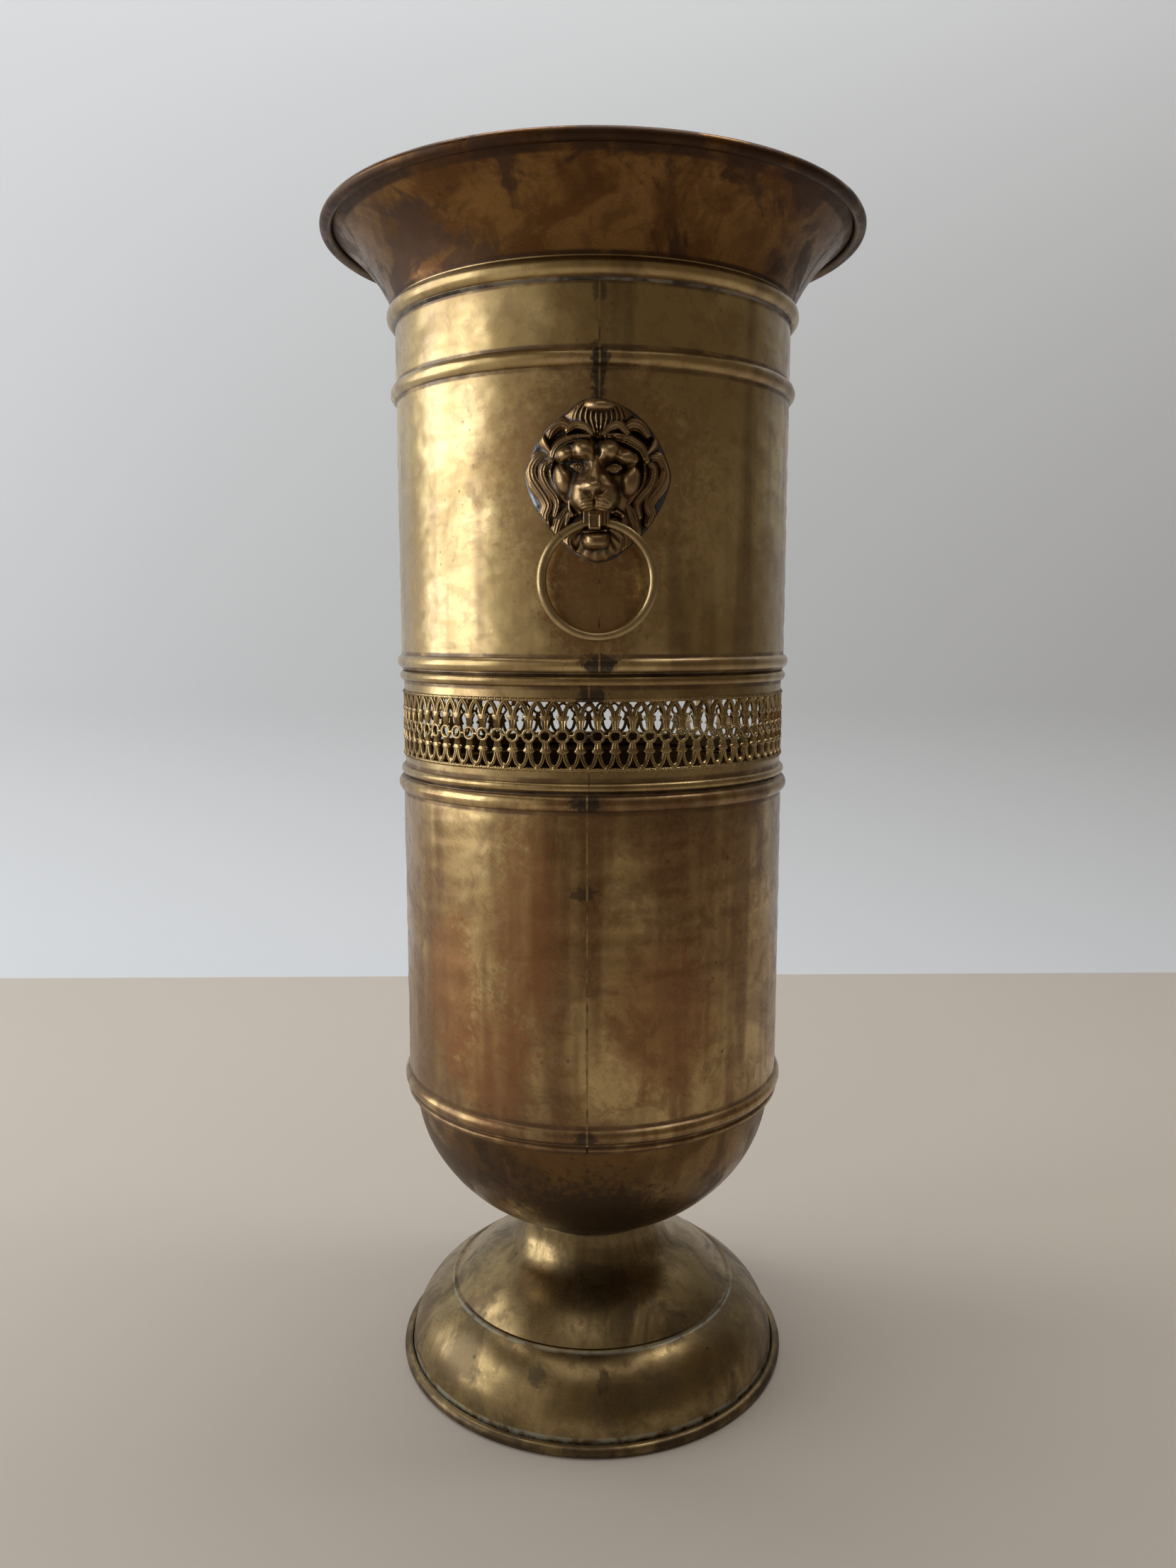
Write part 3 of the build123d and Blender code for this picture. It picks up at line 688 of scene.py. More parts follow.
# Foot: disc, hollow neck, full shoulder, ridge, dome and an edge rolled upwards round its wire
foot = {"top": 80.2, "seat": 34.5, "round": 3.0, "tilt": 10.0, "wall": 4.5, "waist": (50.0, 58.2)}
foot |= {"ridge": [(76.7, 38.9), (78.32, 39.08), (78.5, 37.55)], "wire": (103.5, 2.5), "curl": 2.0}
topRound = arcAbout((foot["seat"], foot["top"] - foot["round"]), foot["round"], 90, foot["tilt"], 8)
tilt = math.radians(foot["tilt"])
down = Vector((math.sin(tilt), -math.cos(tilt)))
neckWall = straight(topRound[-1], Vector(topRound[-1]) + down * foot["wall"], 1.5)
neck = arcFrom(neckWall[-1], down, foot["waist"], 16)
shoulder = arcFrom(foot["waist"], headingAt(neck), foot["ridge"][0], 18)
domeFoot = (foot["wire"][0] - foot["curl"], foot["wire"][1])
dome = arcFrom(domeFoot, (0, 1), foot["ridge"][2], 20)[::-1]
footCurl = arcAbout(foot["wire"], foot["curl"], 180, 480, 26)
footLine = joined(
    straight((boltHole, foot["top"]), (foot["seat"], foot["top"]), 6),
    topRound,
    neckWall,
    neck,
    shoulder,
    foot["ridge"],
    dome,
    footCurl,
)
mesh = bmesh.new()
spinSheet(mesh, footLine, -sheet)
hammer(mesh, low=6, high=72, fade=6, across=34, up=22, seed=9.4, deep=0.07)
for vert in mesh.verts:
    vert.co.z = max(vert.co.z, 0.0)
lineInside(mesh)
finishPiece("foot", mesh, [footBrass, insideBrass], "stand", ["foot"])
print("shells spun")

# Gallery: two plain strips, rope lines, and the pierced columns, rings and arches between them
galleryRadius = 99.4
gallery = {"seam": -2.1, "count": 78, "row": 352.4, "low": 317.7, "high": 388.7}
gallery |= {"beads": [(328.8, 4.6, 2.1), (377.3, 5.2, 2.1)], "ropes": (336.9, 368.8), "rope": 0.95}
gallery |= {"ropeSteps": 20, "ropeInset": 0.1}
ropeRadius = galleryRadius - gallery["ropeInset"]
galleryStart = frontTurn + gallery["seam"]
galleryGap = math.degrees(seamWidth / galleryRadius)
pitch = fullTurn * galleryRadius / gallery["count"]
mesh = bmesh.new()
for beadForm, low, high in (
    (gallery["beads"][0], gallery["low"], gallery["ropes"][0]),
    (gallery["beads"][1], gallery["ropes"][1], gallery["high"]),
):
    rise = bead(galleryRadius, *beadForm)
    line = joined([(galleryRadius, low)], rise, straight(rise[-1], (galleryRadius, high), 4))
    spinSheet(mesh, line, sheet, galleryStart, galleryGap)
lineInside(mesh)
galleryMaterials = [galleryBrass, insideBrass]
finishPiece("galleryStrips", mesh, galleryMaterials, "stand", ["gallery_band"])

mesh = bmesh.new()
for level in gallery["ropes"]:
    section = arcAbout((ropeRadius, level), gallery["rope"], 0, 300, 6)
    turn = math.radians(galleryStart)
    points = [(r * math.cos(turn), r * math.sin(turn), z) for r, z in section]
    spinLoop(mesh, points, (0, 0, 0), (0, 0, 1), fullTurn, gallery["count"] * gallery["ropeSteps"])
for vert in mesh.verts:
    # strands laid round the rope
    radius = math.hypot(vert.co.x, vert.co.y)
    turn = math.atan2(vert.co.y, vert.co.x)
    middle = min(gallery["ropes"], key=lambda z: abs(z - vert.co.z))
    lean = math.atan2(vert.co.z - middle, radius - ropeRadius)
    thick = gallery["rope"] * (1 + 0.22 * math.cos(lean * 2 + turn * gallery["count"] * 6))
    radius = ropeRadius + thick * math.cos(lean)
    vert.co = (radius * math.cos(turn), radius * math.sin(turn), middle + thick * math.sin(lean))
finishPiece("galleryRopes", mesh, [galleryBrass], "stand", [], sharp=60)


def sweep(mesh, path, widths, section):
    # bar of a section, laid along a path on the flat strip: along, up, and out from the strip
    loops = []
    heading = np.gradient(np.array(path), axis=0)
    for (along, up), (ahead, rise), wide in zip(path, heading, widths):
        length = math.hypot(ahead, rise)
        side = (rise / length, -ahead / length)
        points = [(along + side[0] * a * wide, -out, up + side[1] * a * wide) for a, out in section]
        loops.append(addLoop(mesh, points)[1])
    for first, second in zip(loops, loops[1:]):
        bmesh.ops.bridge_loops(mesh, edges=first + second)
    bmesh.ops.edgeloop_fill(mesh, edges=loops[0])
    bmesh.ops.edgeloop_fill(mesh, edges=loops[-1])


def curve(points, count):
    # cubic curve through its two ends
    a, b, c, d = (np.array(p) for p in points)
    shares = np.linspace(0, 1, count)[:, None]
    back = 1 - shares
    points = a * back**3 + 3 * b * shares * back**2 + 3 * c * shares**2 * back + d * shares**3
    return [tuple(p) for p in points]


row = gallery["row"]
half = pitch / 2


def mirrored(points):
    # section with its other half added, about its last point
    return points + [(-a, out) for a, out in points[-2::-1]]


ribSection = mirrored([(-1, -0.8), (-1, 0.1), (-0.74, 0.55), (-0.36, 0.6), (0, 0.2)])
fluted = mirrored([(-1, -0.8), (-1, 0.25), (-0.72, 0.62), (-0.36, 0.25), (0, 0.68)])
plump = mirrored([(-1, -0.8), (-1, 0.2), (-0.8, 0.66), (-0.4, 0.9), (0, 0.96)])
motif = bmesh.new()
ribSteps = 8
for side in (1, -1):
    for rib, wide in (
        ([(0.75, 8.6), (0.95, 11.6), (2.3, 14.2), (half, 15.4)], 1.0),
        ([(0.6, -7.6), (0.9, -11.2), (2.0, -13.8), (half, -14.3)], 0.95),
    ):
        points = [(side * along, row + up) for along, up in rib]
        sweep(motif, curve(points, ribSteps), [wide] * ribSteps, ribSection)
# column, capital, shaft and base: heights from the row of rings, and half widths
for levels, widths, section in (
    ((2.7, 4.0, 5.6, 7.3), (1.5, 1.45, 1.7, 2.1), fluted),
    ((7.1, 7.5, 8.4, 9.0, 9.2), (2.0, 2.4, 2.8, 2.85, 2.5), plump),
    ((-2.7, -3.6, -4.8, -5.9), (1.4, 1.45, 1.7, 1.95), fluted),
    ((-5.7, -6.2, -6.9, -7.5, -8.0), (1.85, 2.4, 2.9, 2.7, 1.5), plump),
):
    sweep(motif, [(0, row + level) for level in levels], widths, section)
ties = (2.9, 3.6, half, pitch - 3.6, pitch - 2.9)
sweep(motif, [(along, row) for along in ties], (0.8, 0.65, 0.85, 0.65, 0.8), plump)
sweep(motif, [(half, row - drop) for drop in (13.9, 15.4)], (0.9, 0.9), plump)
eye = {"middle": 2.75, "wire": 0.8, "steps": 24}
points = [(r, d, row) for r, d in arcAbout((eye["middle"], 0), eye["wire"], 0, 315, 8)]
spinLoop(motif, points, (0, 0, row), (0, 1, 0), fullTurn, eye["steps"])
for vert in motif.verts:
    across = math.hypot(vert.co.x, vert.co.z - row)
    if abs(across - eye["middle"]) < eye["wire"] * 1.01 and abs(vert.co.y) < eye["wire"] * 1.01:
        near = math.hypot(across - eye["middle"], vert.co.y)
        if abs(near - eye["wire"]) < 0.01:
            turn = math.atan2(vert.co.z - row, vert.co.x)
            lean = math.atan2(vert.co.y, across - eye["middle"])
            grow = 1 + 0.16 * math.cos(2 * lean + 12 * turn)
            reach = eye["middle"] + math.cos(lean) * near * grow
            depth = math.sin(lean) * near * grow
            vert.co = (reach * math.cos(turn), depth, row + reach * math.sin(turn))
bmesh.ops.recalc_face_normals(motif, faces=motif.faces)
motifData = bpy.data.meshes.new("motif")
motif.to_mesh(motifData)
motif.free()
mesh = bmesh.new()
for index in range(gallery["count"]):
    before = len(mesh.verts)
    mesh.from_mesh(motifData)
    mesh.verts.ensure_lookup_table()
    base = math.radians(galleryStart) + (index + 0.5) * fullTurn / gallery["count"]
    for vert in mesh.verts[before:]:
        turn = base + vert.co.x / galleryRadius
        radius = ropeRadius - vert.co.y
        vert.co = (radius * math.cos(turn), radius * math.sin(turn), vert.co.z)
bpy.data.meshes.remove(motifData)
finishPiece("galleryRelief", mesh, [galleryBrass], "stand", [], sharp=50)
print("gallery laid")

# Lion mask, carved as heights over the drum; places are as seen from the front, about its middle
maskMiddle = 465.5
sight = {"distance": 522, "fall": 0.126}
carve = 190
mesh = bmesh.new()
bmesh.ops.create_grid(mesh, x_segments=carve, y_segments=carve, size=1.0)
mesh.verts.ensure_lookup_table()
square = np.array([v.co[:2] for v in mesh.verts])
edgePoints = [(1.2, 35.0), (8.5, 32.6), (19.0, 26.6), (25.2, 19.7), (30.2, 10.6), (33.0, 2.1)]
edgePoints += [(30.8, -6.4), (26.0, -15.4), (19.6, -24.0), (12.8, -29.9), (6.4, -34.6)]
edgePoints += [(-0.4, -36.0), (-6.4, -33.6), (-11.7, -30.4), (-16.0, -26.7), (-19.7, -22.9)]
edgePoints += [(-23.9, -17.1), (-28.8, -8.6), (-31.4, 0.0), (-32.5, 3.8), (-29.9, 9.6)]
edgePoints += [(-26.6, 16.0), (-24.0, 20.0), (-18.1, 25.0), (-12.8, 29.3)]
edgePoints += [(-6.9, 33.6), (-2.7, 35.0)]
edgeTurns = np.array([math.atan2(v, u) for u, v in edgePoints])
edgeReach = np.array([math.hypot(u, v) for u, v in edgePoints])
order = np.argsort(edgeTurns)
# the grid's square is drawn into a disc, and the disc out to the mask's edge
disc = square * np.sqrt(1 - square[:, ::-1] ** 2 / 2)
share = np.linalg.norm(disc, axis=1)
turns = np.arctan2(disc[:, 1], disc[:, 0])
reach = np.interp(turns, edgeTurns[order], edgeReach[order], period=fullTurn)
u = share * reach * np.cos(turns)
v = share * reach * np.sin(turns)
gridColumn, gridLine = np.rint((square.T + 1) / 2 * carve).astype(int)


def softened(values, passes):
    # heights evened out with their neighbours
    table = np.zeros((carve + 1, carve + 1))
    table[gridLine, gridColumn] = values
    for _ in range(passes):
        padded = np.pad(table, 1, mode="edge")
        upright = padded[:-2, 1:-1] + padded[2:, 1:-1]
        table = (upright + padded[1:-1, :-2] + padded[1:-1, 2:] + padded[1:-1, 1:-1]) / 5
    return table[gridLine, gridColumn]


def smoothMax(first, second, soft):
    gap = np.clip(soft - np.abs(first - second), 0, None)
    return np.maximum(first, second) + gap * gap / (4 * soft)


def overlaid(height, soft, *forms):
    # forms laid over a surface one after another, each running softly into the rest
    for form in forms:
        height = smoothMax(height, form, soft)
    return height


def swell(q, low, high):
    # rounded profile of a form: q is 0 in its middle and 1 at its edge
    return low + (high - low) * np.sqrt(np.clip(1 - q, 0, None)) - 8 * np.clip(q - 1, 0, None)


def ovalReach(cu, cv, su, sv, turn):
    # square of the distance from an oval's middle, 1 on the oval
    c, s = math.cos(math.radians(turn)), math.sin(math.radians(turn))
    du, dv = (u - cu) * c + (v - cv) * s, (v - cv) * c - (u - cu) * s
    return (du / su) ** 2 + (dv / sv) ** 2


def lobe(cu, cv, su, sv, low, high, turn=0.0):
    return swell(ovalReach(cu, cv, su, sv, turn), low, high)


def pit(cu, cv, su, sv, deep, turn=0.0):
    return deep * np.exp(-ovalReach(cu, cv, su, sv, turn))


def ridge(distance, wide):
    return np.exp(-((distance / wide) ** 2))


def alongLine(points):
    # nearest share of the way along a smooth line, and the distance to its left
    nodes = np.array(points)
    grid = np.linspace(0, 1, 48)
    knots = np.linspace(0, 1, len(nodes))
    slopes = np.gradient(nodes, knots, axis=0)
    span = np.clip(np.searchsorted(knots, grid, side="right") - 1, 0, len(nodes) - 2)
    step = knots[1]
    t = ((grid - knots[span]) / step)[:, None]
    line = (2 * t**3 - 3 * t**2 + 1) * nodes[span] + (t**3 - 2 * t**2 + t) * step * slopes[span]
    line += (-2 * t**3 + 3 * t**2) * nodes[span + 1] + (t**3 - t**2) * step * slopes[span + 1]
    ahead = np.gradient(line, axis=0)
    ahead /= np.linalg.norm(ahead, axis=1)[:, None]
    gap = (u[:, None] - line[:, 0]) ** 2 + (v[:, None] - line[:, 1]) ** 2
    near = gap.argmin(1)
    away = np.stack([u, v], 1) - line[near]
    side = ahead[near, 0] * away[:, 1] - ahead[near, 1] * away[:, 0]
    along = np.sum(ahead[near] * away, 1)
    beyond = ((near == 0) & (along < 0)) | ((near == len(grid) - 1) & (along > 0))
    past = np.where(beyond, along, 0)
    length = np.sum(np.linalg.norm(np.diff(line, axis=0), axis=1))
    return np.clip(grid[near] + along / length, 0, 1), side, np.abs(past)


def lock(points, wide, low, high, strands, deep):
    # lock of hair, combed into strands, narrowing to its ends
    way, side, past = alongLine(points)
    width = wide * (0.45 + 0.55 * np.sin(math.pi * np.clip(0.12 + 0.8 * way, 0, 1)))
    q = (side / width) ** 2 + (past / width) ** 2
    comb = 0.5 - 0.5 * np.cos(fullTurn * strands * (side / width + 1) / 2)
    return swell(q, low, high) - np.where(q < 1, deep * (1 - comb) * (1 - 0.5 * q), 0)


def roll(points, wide, low, high):
    # smooth rounded form along a line, with a width and a height at each end
    way, side, past = alongLine(points)
    width = wide[0] + (wide[1] - wide[0]) * way
    tall = high[0] + (high[1] - high[0]) * way
    return swell((side / width) ** 2 + (past / width) ** 2, low, tall)


# flat border, then mane, face and features from the back to the front
height = np.full(len(u), 1.1)
height = smoothMax(height, lobe(0, 0, 25.0, 24.0, 1.0, 6.2), 1.5)
jaw = lobe(0, -20, 18.0, 14.0, 1.0, 5.4)
beardComb = 1 - np.cos(np.arctan2(u + 0.8, -(v + 17.0)) * 24)
jaw -= 0.3 * beardComb * smoothStep(-18.0, -21.0, v)
height = smoothMax(height, jaw, 0.8)
# locks of the mane: line, half width, height, strands and how deep they are combed
leftLong = [(-21.0, 10.4), (-25.4, 10.0), (-28.6, 6.0), (-28.4, 1.6), (-25.6, -3.0)]
leftLong += [(-22.8, -7.2), (-21.6, -11.0), (-23.0, -15.0), (-22.6, -19.0)]
leftMiddle = [(-20.4, 8.2), (-23.6, 6.4), (-24.2, 2.6), (-22.0, -2.4)]
leftMiddle += [(-18.8, -6.6), (-17.8, -10.4), (-19.0, -15.0)]
rightLong = [(23.4, 9.8), (27.0, 9.4), (29.6, 5.4), (29.4, 1.4), (27.0, -2.8)]
rightLong += [(24.0, -6.4), (22.3, -10.4), (23.5, -14.6), (22.4, -18.4)]
rightMiddle = [(22.0, 7.6), (24.6, 5.4), (24.6, 1.0), (22.2, -3.5)]
rightMiddle += [(18.4, -7.6), (17.4, -10.9), (18.6, -15.5)]
mane = [
    (leftLong, 4.0, 6.2, 5, 0.62),
    (leftMiddle, 3.1, 7.4, 4, 0.6),
    ([(-19.6, 8.2), (-20.8, 3.4), (-19.4, -2.0), (-16.2, -6.2), (-13.6, -9.6)], 1.9, 7.4, 3, 0.5),
    ([(-13.4, -12.0), (-16.6, -17.0), (-18.8, -23.6)], 3.8, 6.2, 5, 0.6),
    ([(-11.6, -10.2), (-12.4, -14.4), (-14.0, -19.0)], 1.9, 6.8, 2, 0.5),
    ([(-9.4, -21.6), (-12.6, -25.6), (-11.4, -30.6)], 3.0, 5.2, 4, 0.5),
    ([(-2.2, 19.4), (-5.2, 22.2), (-9.6, 23.0), (-13.4, 20.8)], 3.4, 9.6, 5, 0.6),
    ([(-12.4, 22.6), (-16.4, 23.6), (-19.8, 21.4), (-21.4, 18.2)], 3.4, 7.6, 4, 0.6),
    ([(-3.6, 18.0), (-10.0, 17.6), (-15.6, 15.8), (-19.0, 12.4), (-20.2, 8.4)], 3.3, 9.8, 5, 0.7),
    (rightLong, 4.0, 6.2, 5, 0.62),
    (rightMiddle, 3.2, 7.4, 4, 0.6),
    ([(20.4, 7.2), (20.8, 2.4), (19.4, -2.6), (16.2, -6.8), (13.6, -9.8)], 2.0, 7.4, 3, 0.5),
    ([(13.4, -11.0), (15.7, -16.0), (17.6, -22.4)], 3.8, 6.2, 5, 0.6),
    ([(9.0, -21.4), (12.2, -24.6), (12.0, -29.4)], 3.2, 5.2, 4, 0.5),
    ([(2.4, 19.4), (5.4, 22.2), (9.4, 22.8), (13.0, 19.8)], 3.5, 9.6, 5, 0.6),
    ([(12.2, 21.6), (15.2, 23.2), (18.8, 22.4), (21.8, 18.8)], 3.4, 7.6, 4, 0.6),
    ([(3.6, 18.2), (9.5, 17.8), (15.0, 16.0), (19.6, 12.8), (21.6, 8.0)], 3.5, 9.8, 6, 0.7),
]
for points, wide, high, strands, deep in mane:
    height = smoothMax(height, lock(points, wide, 1.0, high, strands, deep), 0.45)
# pointed ears
for ear in (
    [(-24.6, 19.4), (-23.1, 15.5), (-20.6, 11.6)],
    [(26.0, 18.0), (24.4, 14.6), (21.8, 11.2)],
):
    height = smoothMax(height, lock(ear, 2.5, 2.0, 8.4, 1, 2.0), 0.3)
# beard, combed out under the chin
beard = lobe(-0.6, -25.6, 10.8, 10.2, 1.0, 6.8)
combed = smoothStep(5.4, 7.4, np.hypot((u + 1.0) * 0.9, (v + 25.8) * 1.35))
beard -= 0.5 * beardComb * combed
height = smoothMax(height, beard, 0.6)
# crest over its fluted fan
fanWide = 0.6 + 10.9 * np.clip((v - 17.0) / 8.5, 0, 1) ** 0.72
fanWide *= np.sqrt(np.clip(1 - (np.clip(v - 25.5, 0, None) / 9.0) ** 2, 0.01, 1))
fanAcross = (u - 0.4) / fanWide
fan = 5.6 + 4.0 * np.sqrt(np.clip(1 - fanAcross**2, 0, 1))
fan -= 12 * np.clip(np.abs(fanAcross) - 1, 0, None)
fan -= 0.62 * (1 + np.cos((fanAcross + 1) * 10 * math.pi)) * (np.abs(fanAcross) < 1)
fan = np.where(v > 17.0, fan, -9)
height = smoothMax(height, fan, 0.3)
height = smoothMax(height, lobe(0.9, 31.2, 7.4, 3.9, 4.0, 13.4), 0.3)
# head, then brows of two swellings each
height = smoothMax(height, lobe(-0.4, 1.0, 19.8, 18.4, 2.0, 9.6), 1.2)
for brow in (
    [(-16.4, 10.2), (-12.6, 11.2), (-8.0, 12.2), (-3.4, 12.8)],
    [(15.2, 9.0), (11.4, 10.0), (6.8, 11.8), (2.2, 12.6)],
):
    height = smoothMax(height, roll(brow, (3.2, 4.4), 6.0, (11.0, 11.8)), 2.0)
height = overlaid(
    height,
    1.8,
    lobe(-6.8, 12.4, 5.0, 5.0, 7.0, 16.0),
    lobe(-14.2, 10.9, 4.4, 3.8, 7.0, 14.2),
    lobe(-3.4, 11.2, 2.8, 4.8, 7.0, 14.6),
    lobe(5.0, 12.2, 5.0, 5.0, 7.0, 15.8),
    lobe(11.9, 9.5, 4.6, 3.8, 7.0, 14.0),
    lobe(2.0, 11.0, 2.8, 4.8, 7.0, 14.4),
)
height -= pit(-0.6, 13.6, 0.9, 4.6, 3.0)
cheeks = lobe(-15.0, 0.4, 4.6, 7.4, 5.0, 13.0, 14), lobe(14.2, -0.4, 4.8, 7.6, 5.0, 12.8, -14)
height = overlaid(height, 1.6, *cheeks)
# snout from the eyes to the muzzle, with the nose on it
snoutWide = 3.6 + 6.6 * np.clip((8.0 - v) / 10.0, 0, 1)
snout = swell(((u + 1.9) / snoutWide) ** 2, 8.4, 12.2 + 4.4 * smoothStep(8.0, -3.0, v))
snout -= 1.6 * np.clip(v - 7.0, 0, None) + 1.4 * np.clip(-2.5 - v, 0, None)
height = smoothMax(height, snout, 2.4)
height = smoothMax(height, lobe(-1.7, -6.2, 10.4, 8.4, 6.0, 14.6), 2.6)
height = overlaid(
    height,
    4.0,
    lobe(-6.6, -6.4, 5.6, 6.8, 8.0, 16.8),
    lobe(3.4, -6.7, 5.8, 6.6, 8.0, 16.5),
    lobe(-4.8, -9.8, 4.8, 4.4, 8.0, 17.0),
    lobe(2.2, -10.0, 5.0, 4.4, 8.0, 16.8),
)
bridge = [(-1.1, 8.4), (-1.8, 5.0), (-2.3, 1.0), (-2.7, -2.0)]
height = smoothMax(height, roll(bridge, (2.6, 4.4), 9.0, (12.6, 19.0)), 3.2)
height = smoothMax(height, lobe(-2.7, -2.2, 4.8, 3.6, 11.0, 19.9), 3.0)
wedge = [(-2.7, -2.6), (-2.4, -4.6), (-2.2, -6.4)]
height = smoothMax(height, roll(wedge, (4.0, 1.4), 11.0, (19.4, 17.8)), 1.6)
# the smooth forms run into each other
face = smoothStep(1.0, 0.86, np.hypot((u + 0.4) / 19.6, v / 17.0))
height = height + (softened(height, 6) - height) * face
# eyes: hollow, ball, lids, iris and pupil
for eyeU, eyeV, lean in ((-8.6, 5.4, -6), (7.2, 4.8, 6)):
    height -= pit(eyeU, eyeV, 4.6, 2.4, 3.2, lean)
    height = smoothMax(height, lobe(eyeU, eyeV, 3.9, 2.3, 6.5, 10.6, lean), 0.4)
    lid = ridge(np.hypot((u - eyeU) / 3.5, (v - eyeV) / 2.0) - 1.0, 0.17)
    height += 1.0 * lid * smoothStep(-1.2, 0.4, v - eyeV)
    height += 0.5 * lid * smoothStep(0.4, -0.9, v - eyeV)
    iris = np.hypot(u - eyeU, v - eyeV)
    height -= 0.6 * ridge(iris - 1.3, 0.3) + 0.8 * ridge(iris, 0.5)
# under the nose: parting, nostrils and rows of whiskers
height -= pit(-1.9, -9.8, 0.45, 3.0, 1.1)
for side in (-1, 1):
    height -= pit(-2.2 + side * 3.6, -5.0, 2.2, 0.5, 0.8, side * 30)
whiskers = 0.5 + 0.5 * np.cos((v + 0.04 * (u + 1.3) ** 2) * fullTurn / 1.65)
pads = smoothStep(-6.0, -7.4, v) * smoothStep(-13.8, -12.6, v)
pads *= smoothStep(6.6, 5.4, np.abs(u + 1.3)) * smoothStep(0.8, 1.5, np.abs(u + 1.3))
height -= 0.6 * pads * whiskers
# folds beside the mouth, then the mouth, left open for the ring, and the chin
for fold in (
    [(-12.6, -8.8), (-10.4, -11.4), (-7.6, -14.2)],
    [(-12.6, -9.0), (-12.4, -12.4), (-11.4, -15.0)],
    [(6.0, -13.8), (8.4, -13.2), (11.0, -15.2)],
):
    height = smoothMax(height, roll(fold, (0.9, 0.9), 5.0, (8.6, 8.6)), 0.5)
mouthReach = np.hypot((u + 0.6) / 11.4, (v + 17.7) / 3.7)
mouthFloor = 1.4
mouthOpen = smoothStep(1.05, 0.9, mouthReach)
height = height * (1 - mouthOpen) + mouthFloor * mouthOpen
chinWide = np.abs((u + 0.8) / 6.6) ** 2.6 + np.abs((v + 25.4) / 4.4) ** 2.6
height = smoothMax(height, swell(chinWide, 3.0, 13.4), 0.5)
lip = [(-6.2, -21.9), (-2.0, -21.6), (3.6, -21.3)]
height = smoothMax(height, roll(lip, (0.75, 0.75), 6.0, (12.8, 12.8)), 0.4)
# room beside the mouth for the ring when it is swung up as far as it goes
swing = {"hinge": (108.0, 446.5), "lean": math.radians(20), "radius": 24.65, "wire": 2.5}
acrossMask = u * (1 - height / sight["distance"])
raised = maskMiddle + v - sight["fall"] * height - swing["hinge"][1]
raised /= math.cos(swing["lean"])
offWire = np.hypot(acrossMask, raised - swing["radius"]) - swing["radius"]
wireDepth = np.sqrt(np.maximum(swing["wire"] ** 2 - offWire**2, 0)) / math.cos(swing["lean"])
roomFor = swing["hinge"][0] + raised * math.sin(swing["lean"]) - wireDepth
roomFor -= np.sqrt(drumRadius**2 - acrossMask**2)
lowered = np.minimum(height, np.maximum(roomFor, mouthFloor))
height = np.where(wireDepth > 0, lowered, height)
edgeThick = 0.15
height = edgeThick + (height - edgeThick) * smoothStep(1.0, 0.965, share)


def onDrum(du, dv, up, out):
    # seen from the front, a height stands nearer, so it shows larger and higher
    x = du * (1 - up / sight["distance"])
    y = -math.sqrt(drumRadius**2 - x * x) - out
    return (x, y, maskMiddle + dv - sight["fall"] * up)


# worn heights and dark hollows, from the carving itself
relief = np.clip(0.5 + (height - softened(height, 14)) * 0.55 + (height - 7) * 0.012, 0, 1)
border = smoothStep(1.9, 1.2, height) * smoothStep(1.0, 1.6, mouthReach)
reliefLayer = mesh.verts.layers.float.new("relief")
borderLayer = mesh.verts.layers.float.new("border")
for vert, du, dv, up, worn, edgeShare in zip(mesh.verts, u, v, height, relief, border):
    vert.co = onDrum(du, dv, up, up)
    vert[reliefLayer] = worn
    vert[borderLayer] = edgeShare
maskData = bpy.data.meshes.new("maskSurface")
mesh.to_mesh(maskData)
mesh.free()

# gum and teeth stand in front of the ring, as a plate across the mouth
teeth = {"left": -6.5, "right": 5.0, "top": -13.0, "bottom": -20.8, "back": 11.0, "front": 12.5}
plate = bmesh.new()
bmesh.ops.create_grid(plate, x_segments=46, y_segments=34, size=1.0)
reliefLayer = plate.verts.layers.float.new("relief")
for vert in plate.verts:
    du = teeth["left"] + (teeth["right"] - teeth["left"]) * (vert.co.x + 1) / 2
    dv = teeth["bottom"] + (teeth["top"] - teeth["bottom"]) * (vert.co.y + 1) / 2
    up = teeth["front"] - 0.02 * (du + 0.8) ** 2
    squareReach = max(abs(du + 1.5) / 2.2, abs(dv + 17.2) / 2.7)
    frameLine = ridge(squareReach - 1, 0.13)
    up += 0.5 * frameLine - 0.35 * (squareReach < 0.9)
    for gap in (-4.6, 2.2, 3.7):
        up -= 0.55 * ridge(du - gap, 0.3)
    up += 0.4 * ridge(du + 6.1, 0.35)
    # fangs end above the ring on both sides of the square
    short = -18.0 if du < -4.0 else -18.6
    if abs(du + 1.5) > 2.6 and dv < short:
        dv = short
    vert[reliefLayer] = 0.42 + 0.5 * frameLine
    vert.co = onDrum(du, dv, up, max(up, teeth["back"] + 0.3))
bmesh.ops.remove_doubles(plate, verts=plate.verts, dist=0.001)
backs = bmesh.ops.extrude_face_region(plate, geom=list(plate.faces))["geom"]
for vert in vertsIn(backs):
    vert.co.y = -drumRadius - teeth["back"]
    vert[reliefLayer] = 0.2
bmesh.ops.recalc_face_normals(plate, faces=plate.faces)
plateData = bpy.data.meshes.new("plate")
plate.to_mesh(plateData)
plate.free()
for name, turn, nodes in (
    ("frontMask", 0.0, ["front_mask", "front_mask_solder"]),
    ("rearMask", math.pi, ["rear_mask", "rear_mask_solder"]),
):
    mesh = bmesh.new()
    mesh.from_mesh(maskData)
    mesh.from_mesh(plateData)
    bmesh.ops.rotate(mesh, cent=(0, 0, 0), matrix=Matrix.Rotation(turn, 3, "Z"), verts=mesh.verts)
    finishPiece(name, mesh, [maskBronze], "stand", nodes, sharp=70)
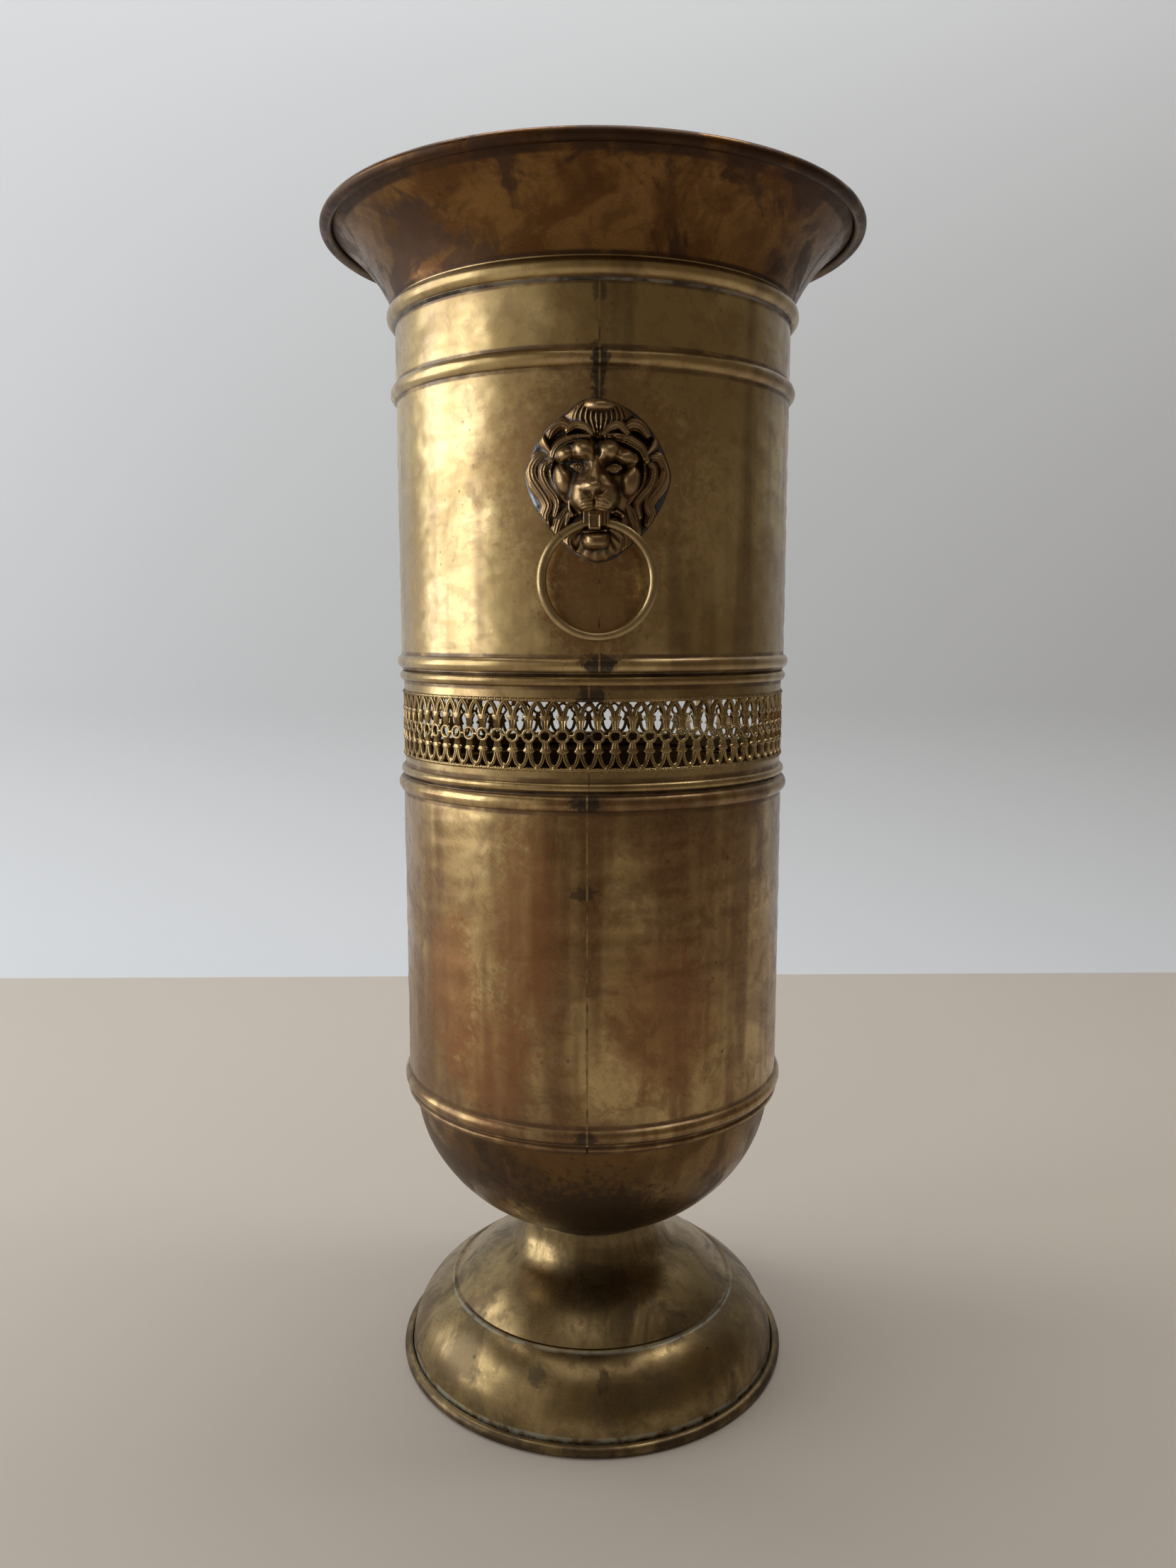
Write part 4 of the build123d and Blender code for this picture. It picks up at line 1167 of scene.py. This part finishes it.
bpy.data.meshes.remove(maskData)
bpy.data.meshes.remove(plateData)

# Ring handles: bent wire, not quite closed at its butt joint
ring = {"middle": (-108.0, 421.85), "radius": 24.65, "wire": 2.1, "joint": 131.0, "gap": 0.8}
ring |= {"steps": 120}
for name, body, side, node in (
    ("frontRing", "front_handle", 1, "front_ring"),
    ("rearRing", "rear_handle", -1, "rear_ring"),
):
    mesh = bmesh.new()
    turn = math.radians(ring["joint"] + ring["gap"] / 2)
    away, level = ring["middle"]
    points = [
        (side * r * math.cos(turn), side * (away + d), level + r * math.sin(turn))
        for r, d in arcAbout((ring["radius"], 0), ring["wire"], 0, 340, 18)
    ]
    sweepTurn = math.radians(360 - ring["gap"])
    spinLoop(mesh, points, (0, side * away, level), (0, -side, 0), sweepTurn, ring["steps"], False)
    bmesh.ops.holes_fill(mesh, edges=[e for e in mesh.edges if e.is_boundary], sides=0)
    finishPiece(name, mesh, [ringBrass], body, [node])
print("masks and rings made")

# CAD nodes that show keep their shape and take a finish
finishes = {
    "upper_seam_solder": seamSolder,
    "lower_seam_solder": seamSolder,
    "gallery_seam_solder": seamSolder,
    "rim_wire": ironWire,
    "foot_rim_wire": ironWire,
    "foot_bolt": platedSteel,
    "foot_nut": platedSteel,
    "bowl_washer": platedSteel,
    "foot_washer": platedSteel,
}
for name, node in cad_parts.items():
    if not node.hide_render:
        node.data.materials.clear()
        node.data.materials.append(finishes.get(name, solderGrey))

# Stage: pale floor and wall, a window light on the left, a soft fill and a dim room
stage = {"wall": 0.95, "wide": 3.2, "front": 2.0, "round": 0.3}
mesh = bmesh.new()
bendAt = stage["wall"] - stage["round"]
backdropLine = [(-stage["front"], 0.0), (bendAt, 0.0)]
backdropLine += arcAbout((bendAt, stage["round"]), stage["round"], -90, 0, 14)
backdropLine += [(stage["wall"], 2.6)]
verts = [mesh.verts.new((-stage["wide"], y, z)) for y, z in joined(backdropLine)]
edges = [mesh.edges.new(pair) for pair in zip(verts, verts[1:])]
grown = bmesh.ops.extrude_edge_only(mesh, edges=edges)["geom"]
bmesh.ops.translate(mesh, vec=(2 * stage["wide"], 0, 0), verts=vertsIn(grown))
bmesh.ops.recalc_face_normals(mesh, faces=mesh.faces)
for face in mesh.faces:
    face.smooth = True
backdropData = bpy.data.meshes.new("backdrop")
mesh.to_mesh(backdropData)
mesh.free()
backdrop = bpy.data.objects.new("backdrop", backdropData)
bpy.context.scene.collection.objects.link(backdrop)
for name, shade in (
    ("floorPaper", colour(0.52, 0.475, 0.42)),
    ("wallPaper", colour(0.62, 0.65, 0.69)),
):
    paper, sockets, _ = startMaterial(name)
    sockets["Base Color"].default_value = shade
    sockets["Roughness"].default_value = 0.9
    backdropData.materials.append(paper)
for face in backdropData.polygons:
    face.material_index = 1 if face.center.z > 0.002 else 0


def lamp(name, place, aim, size, power, warm):
    data = bpy.data.lights.new(name, "AREA")
    data.shape = "RECTANGLE"
    data.size, data.size_y = size
    data.energy = power
    data.color = warm
    made = bpy.data.objects.new(name, data)
    made.location = place
    made.rotation_euler = (Vector(aim) - Vector(place)).to_track_quat("-Z", "Y").to_euler()
    bpy.context.scene.collection.objects.link(made)


panes = {"away": -1.6, "along": (-0.48, 0.24), "up": (0.34, 0.8, 1.26)}
panes |= {"size": (0.6, 0.32), "power": 3.2}
for along in panes["along"]:
    for up in panes["up"]:
        place = (panes["away"], along, up)
        lamp("pane", place, (0, along, up), panes["size"], panes["power"], (0.95, 0.98, 1.0))
lamp("roomGlow", (-1.2, -1.35, 0.75), (0, 0, 0.3), (0.8, 1.5), 1.3, (1.0, 0.96, 0.88))
lamp("ceiling", (0.1, -0.4, 2.3), (0, 0, 0.2), (1.8, 1.6), 6, (1.0, 0.97, 0.93))
lamp("wallWash", (0.1, 0.25, 2.3), (0.2, 0.95, 0.6), (2.6, 0.4), 27, (1.0, 0.99, 0.97))

world = bpy.data.worlds.new("room")
bpy.context.scene.world = world
world.use_nodes = True
world.node_tree.nodes["Background"].inputs["Color"].default_value = colour(1.0, 0.8, 0.58)
world.node_tree.nodes["Background"].inputs["Strength"].default_value = 0.15

view = {"reach": 0.622, "height": 0.39995, "lens": 26.62}
view |= {"round": -1.2, "down": 7.537, "left": 0.221}
cameraData = bpy.data.cameras.new("camera")
cameraData.sensor_width = 36.0
cameraData.lens = view["lens"]
cameraData.clip_start = 0.01
camera = bpy.data.objects.new("camera", cameraData)
aside = math.radians(view["round"])
distance = view["reach"]
camera.location = (distance * math.sin(aside), -distance * math.cos(aside), view["height"])
camera.rotation_euler = (math.radians(90 - view["down"]), 0.0, math.radians(view["left"]) + aside)
bpy.context.scene.collection.objects.link(camera)
bpy.context.scene.camera = camera
bpy.context.scene.view_settings.view_transform = "Standard"

print("stage set")
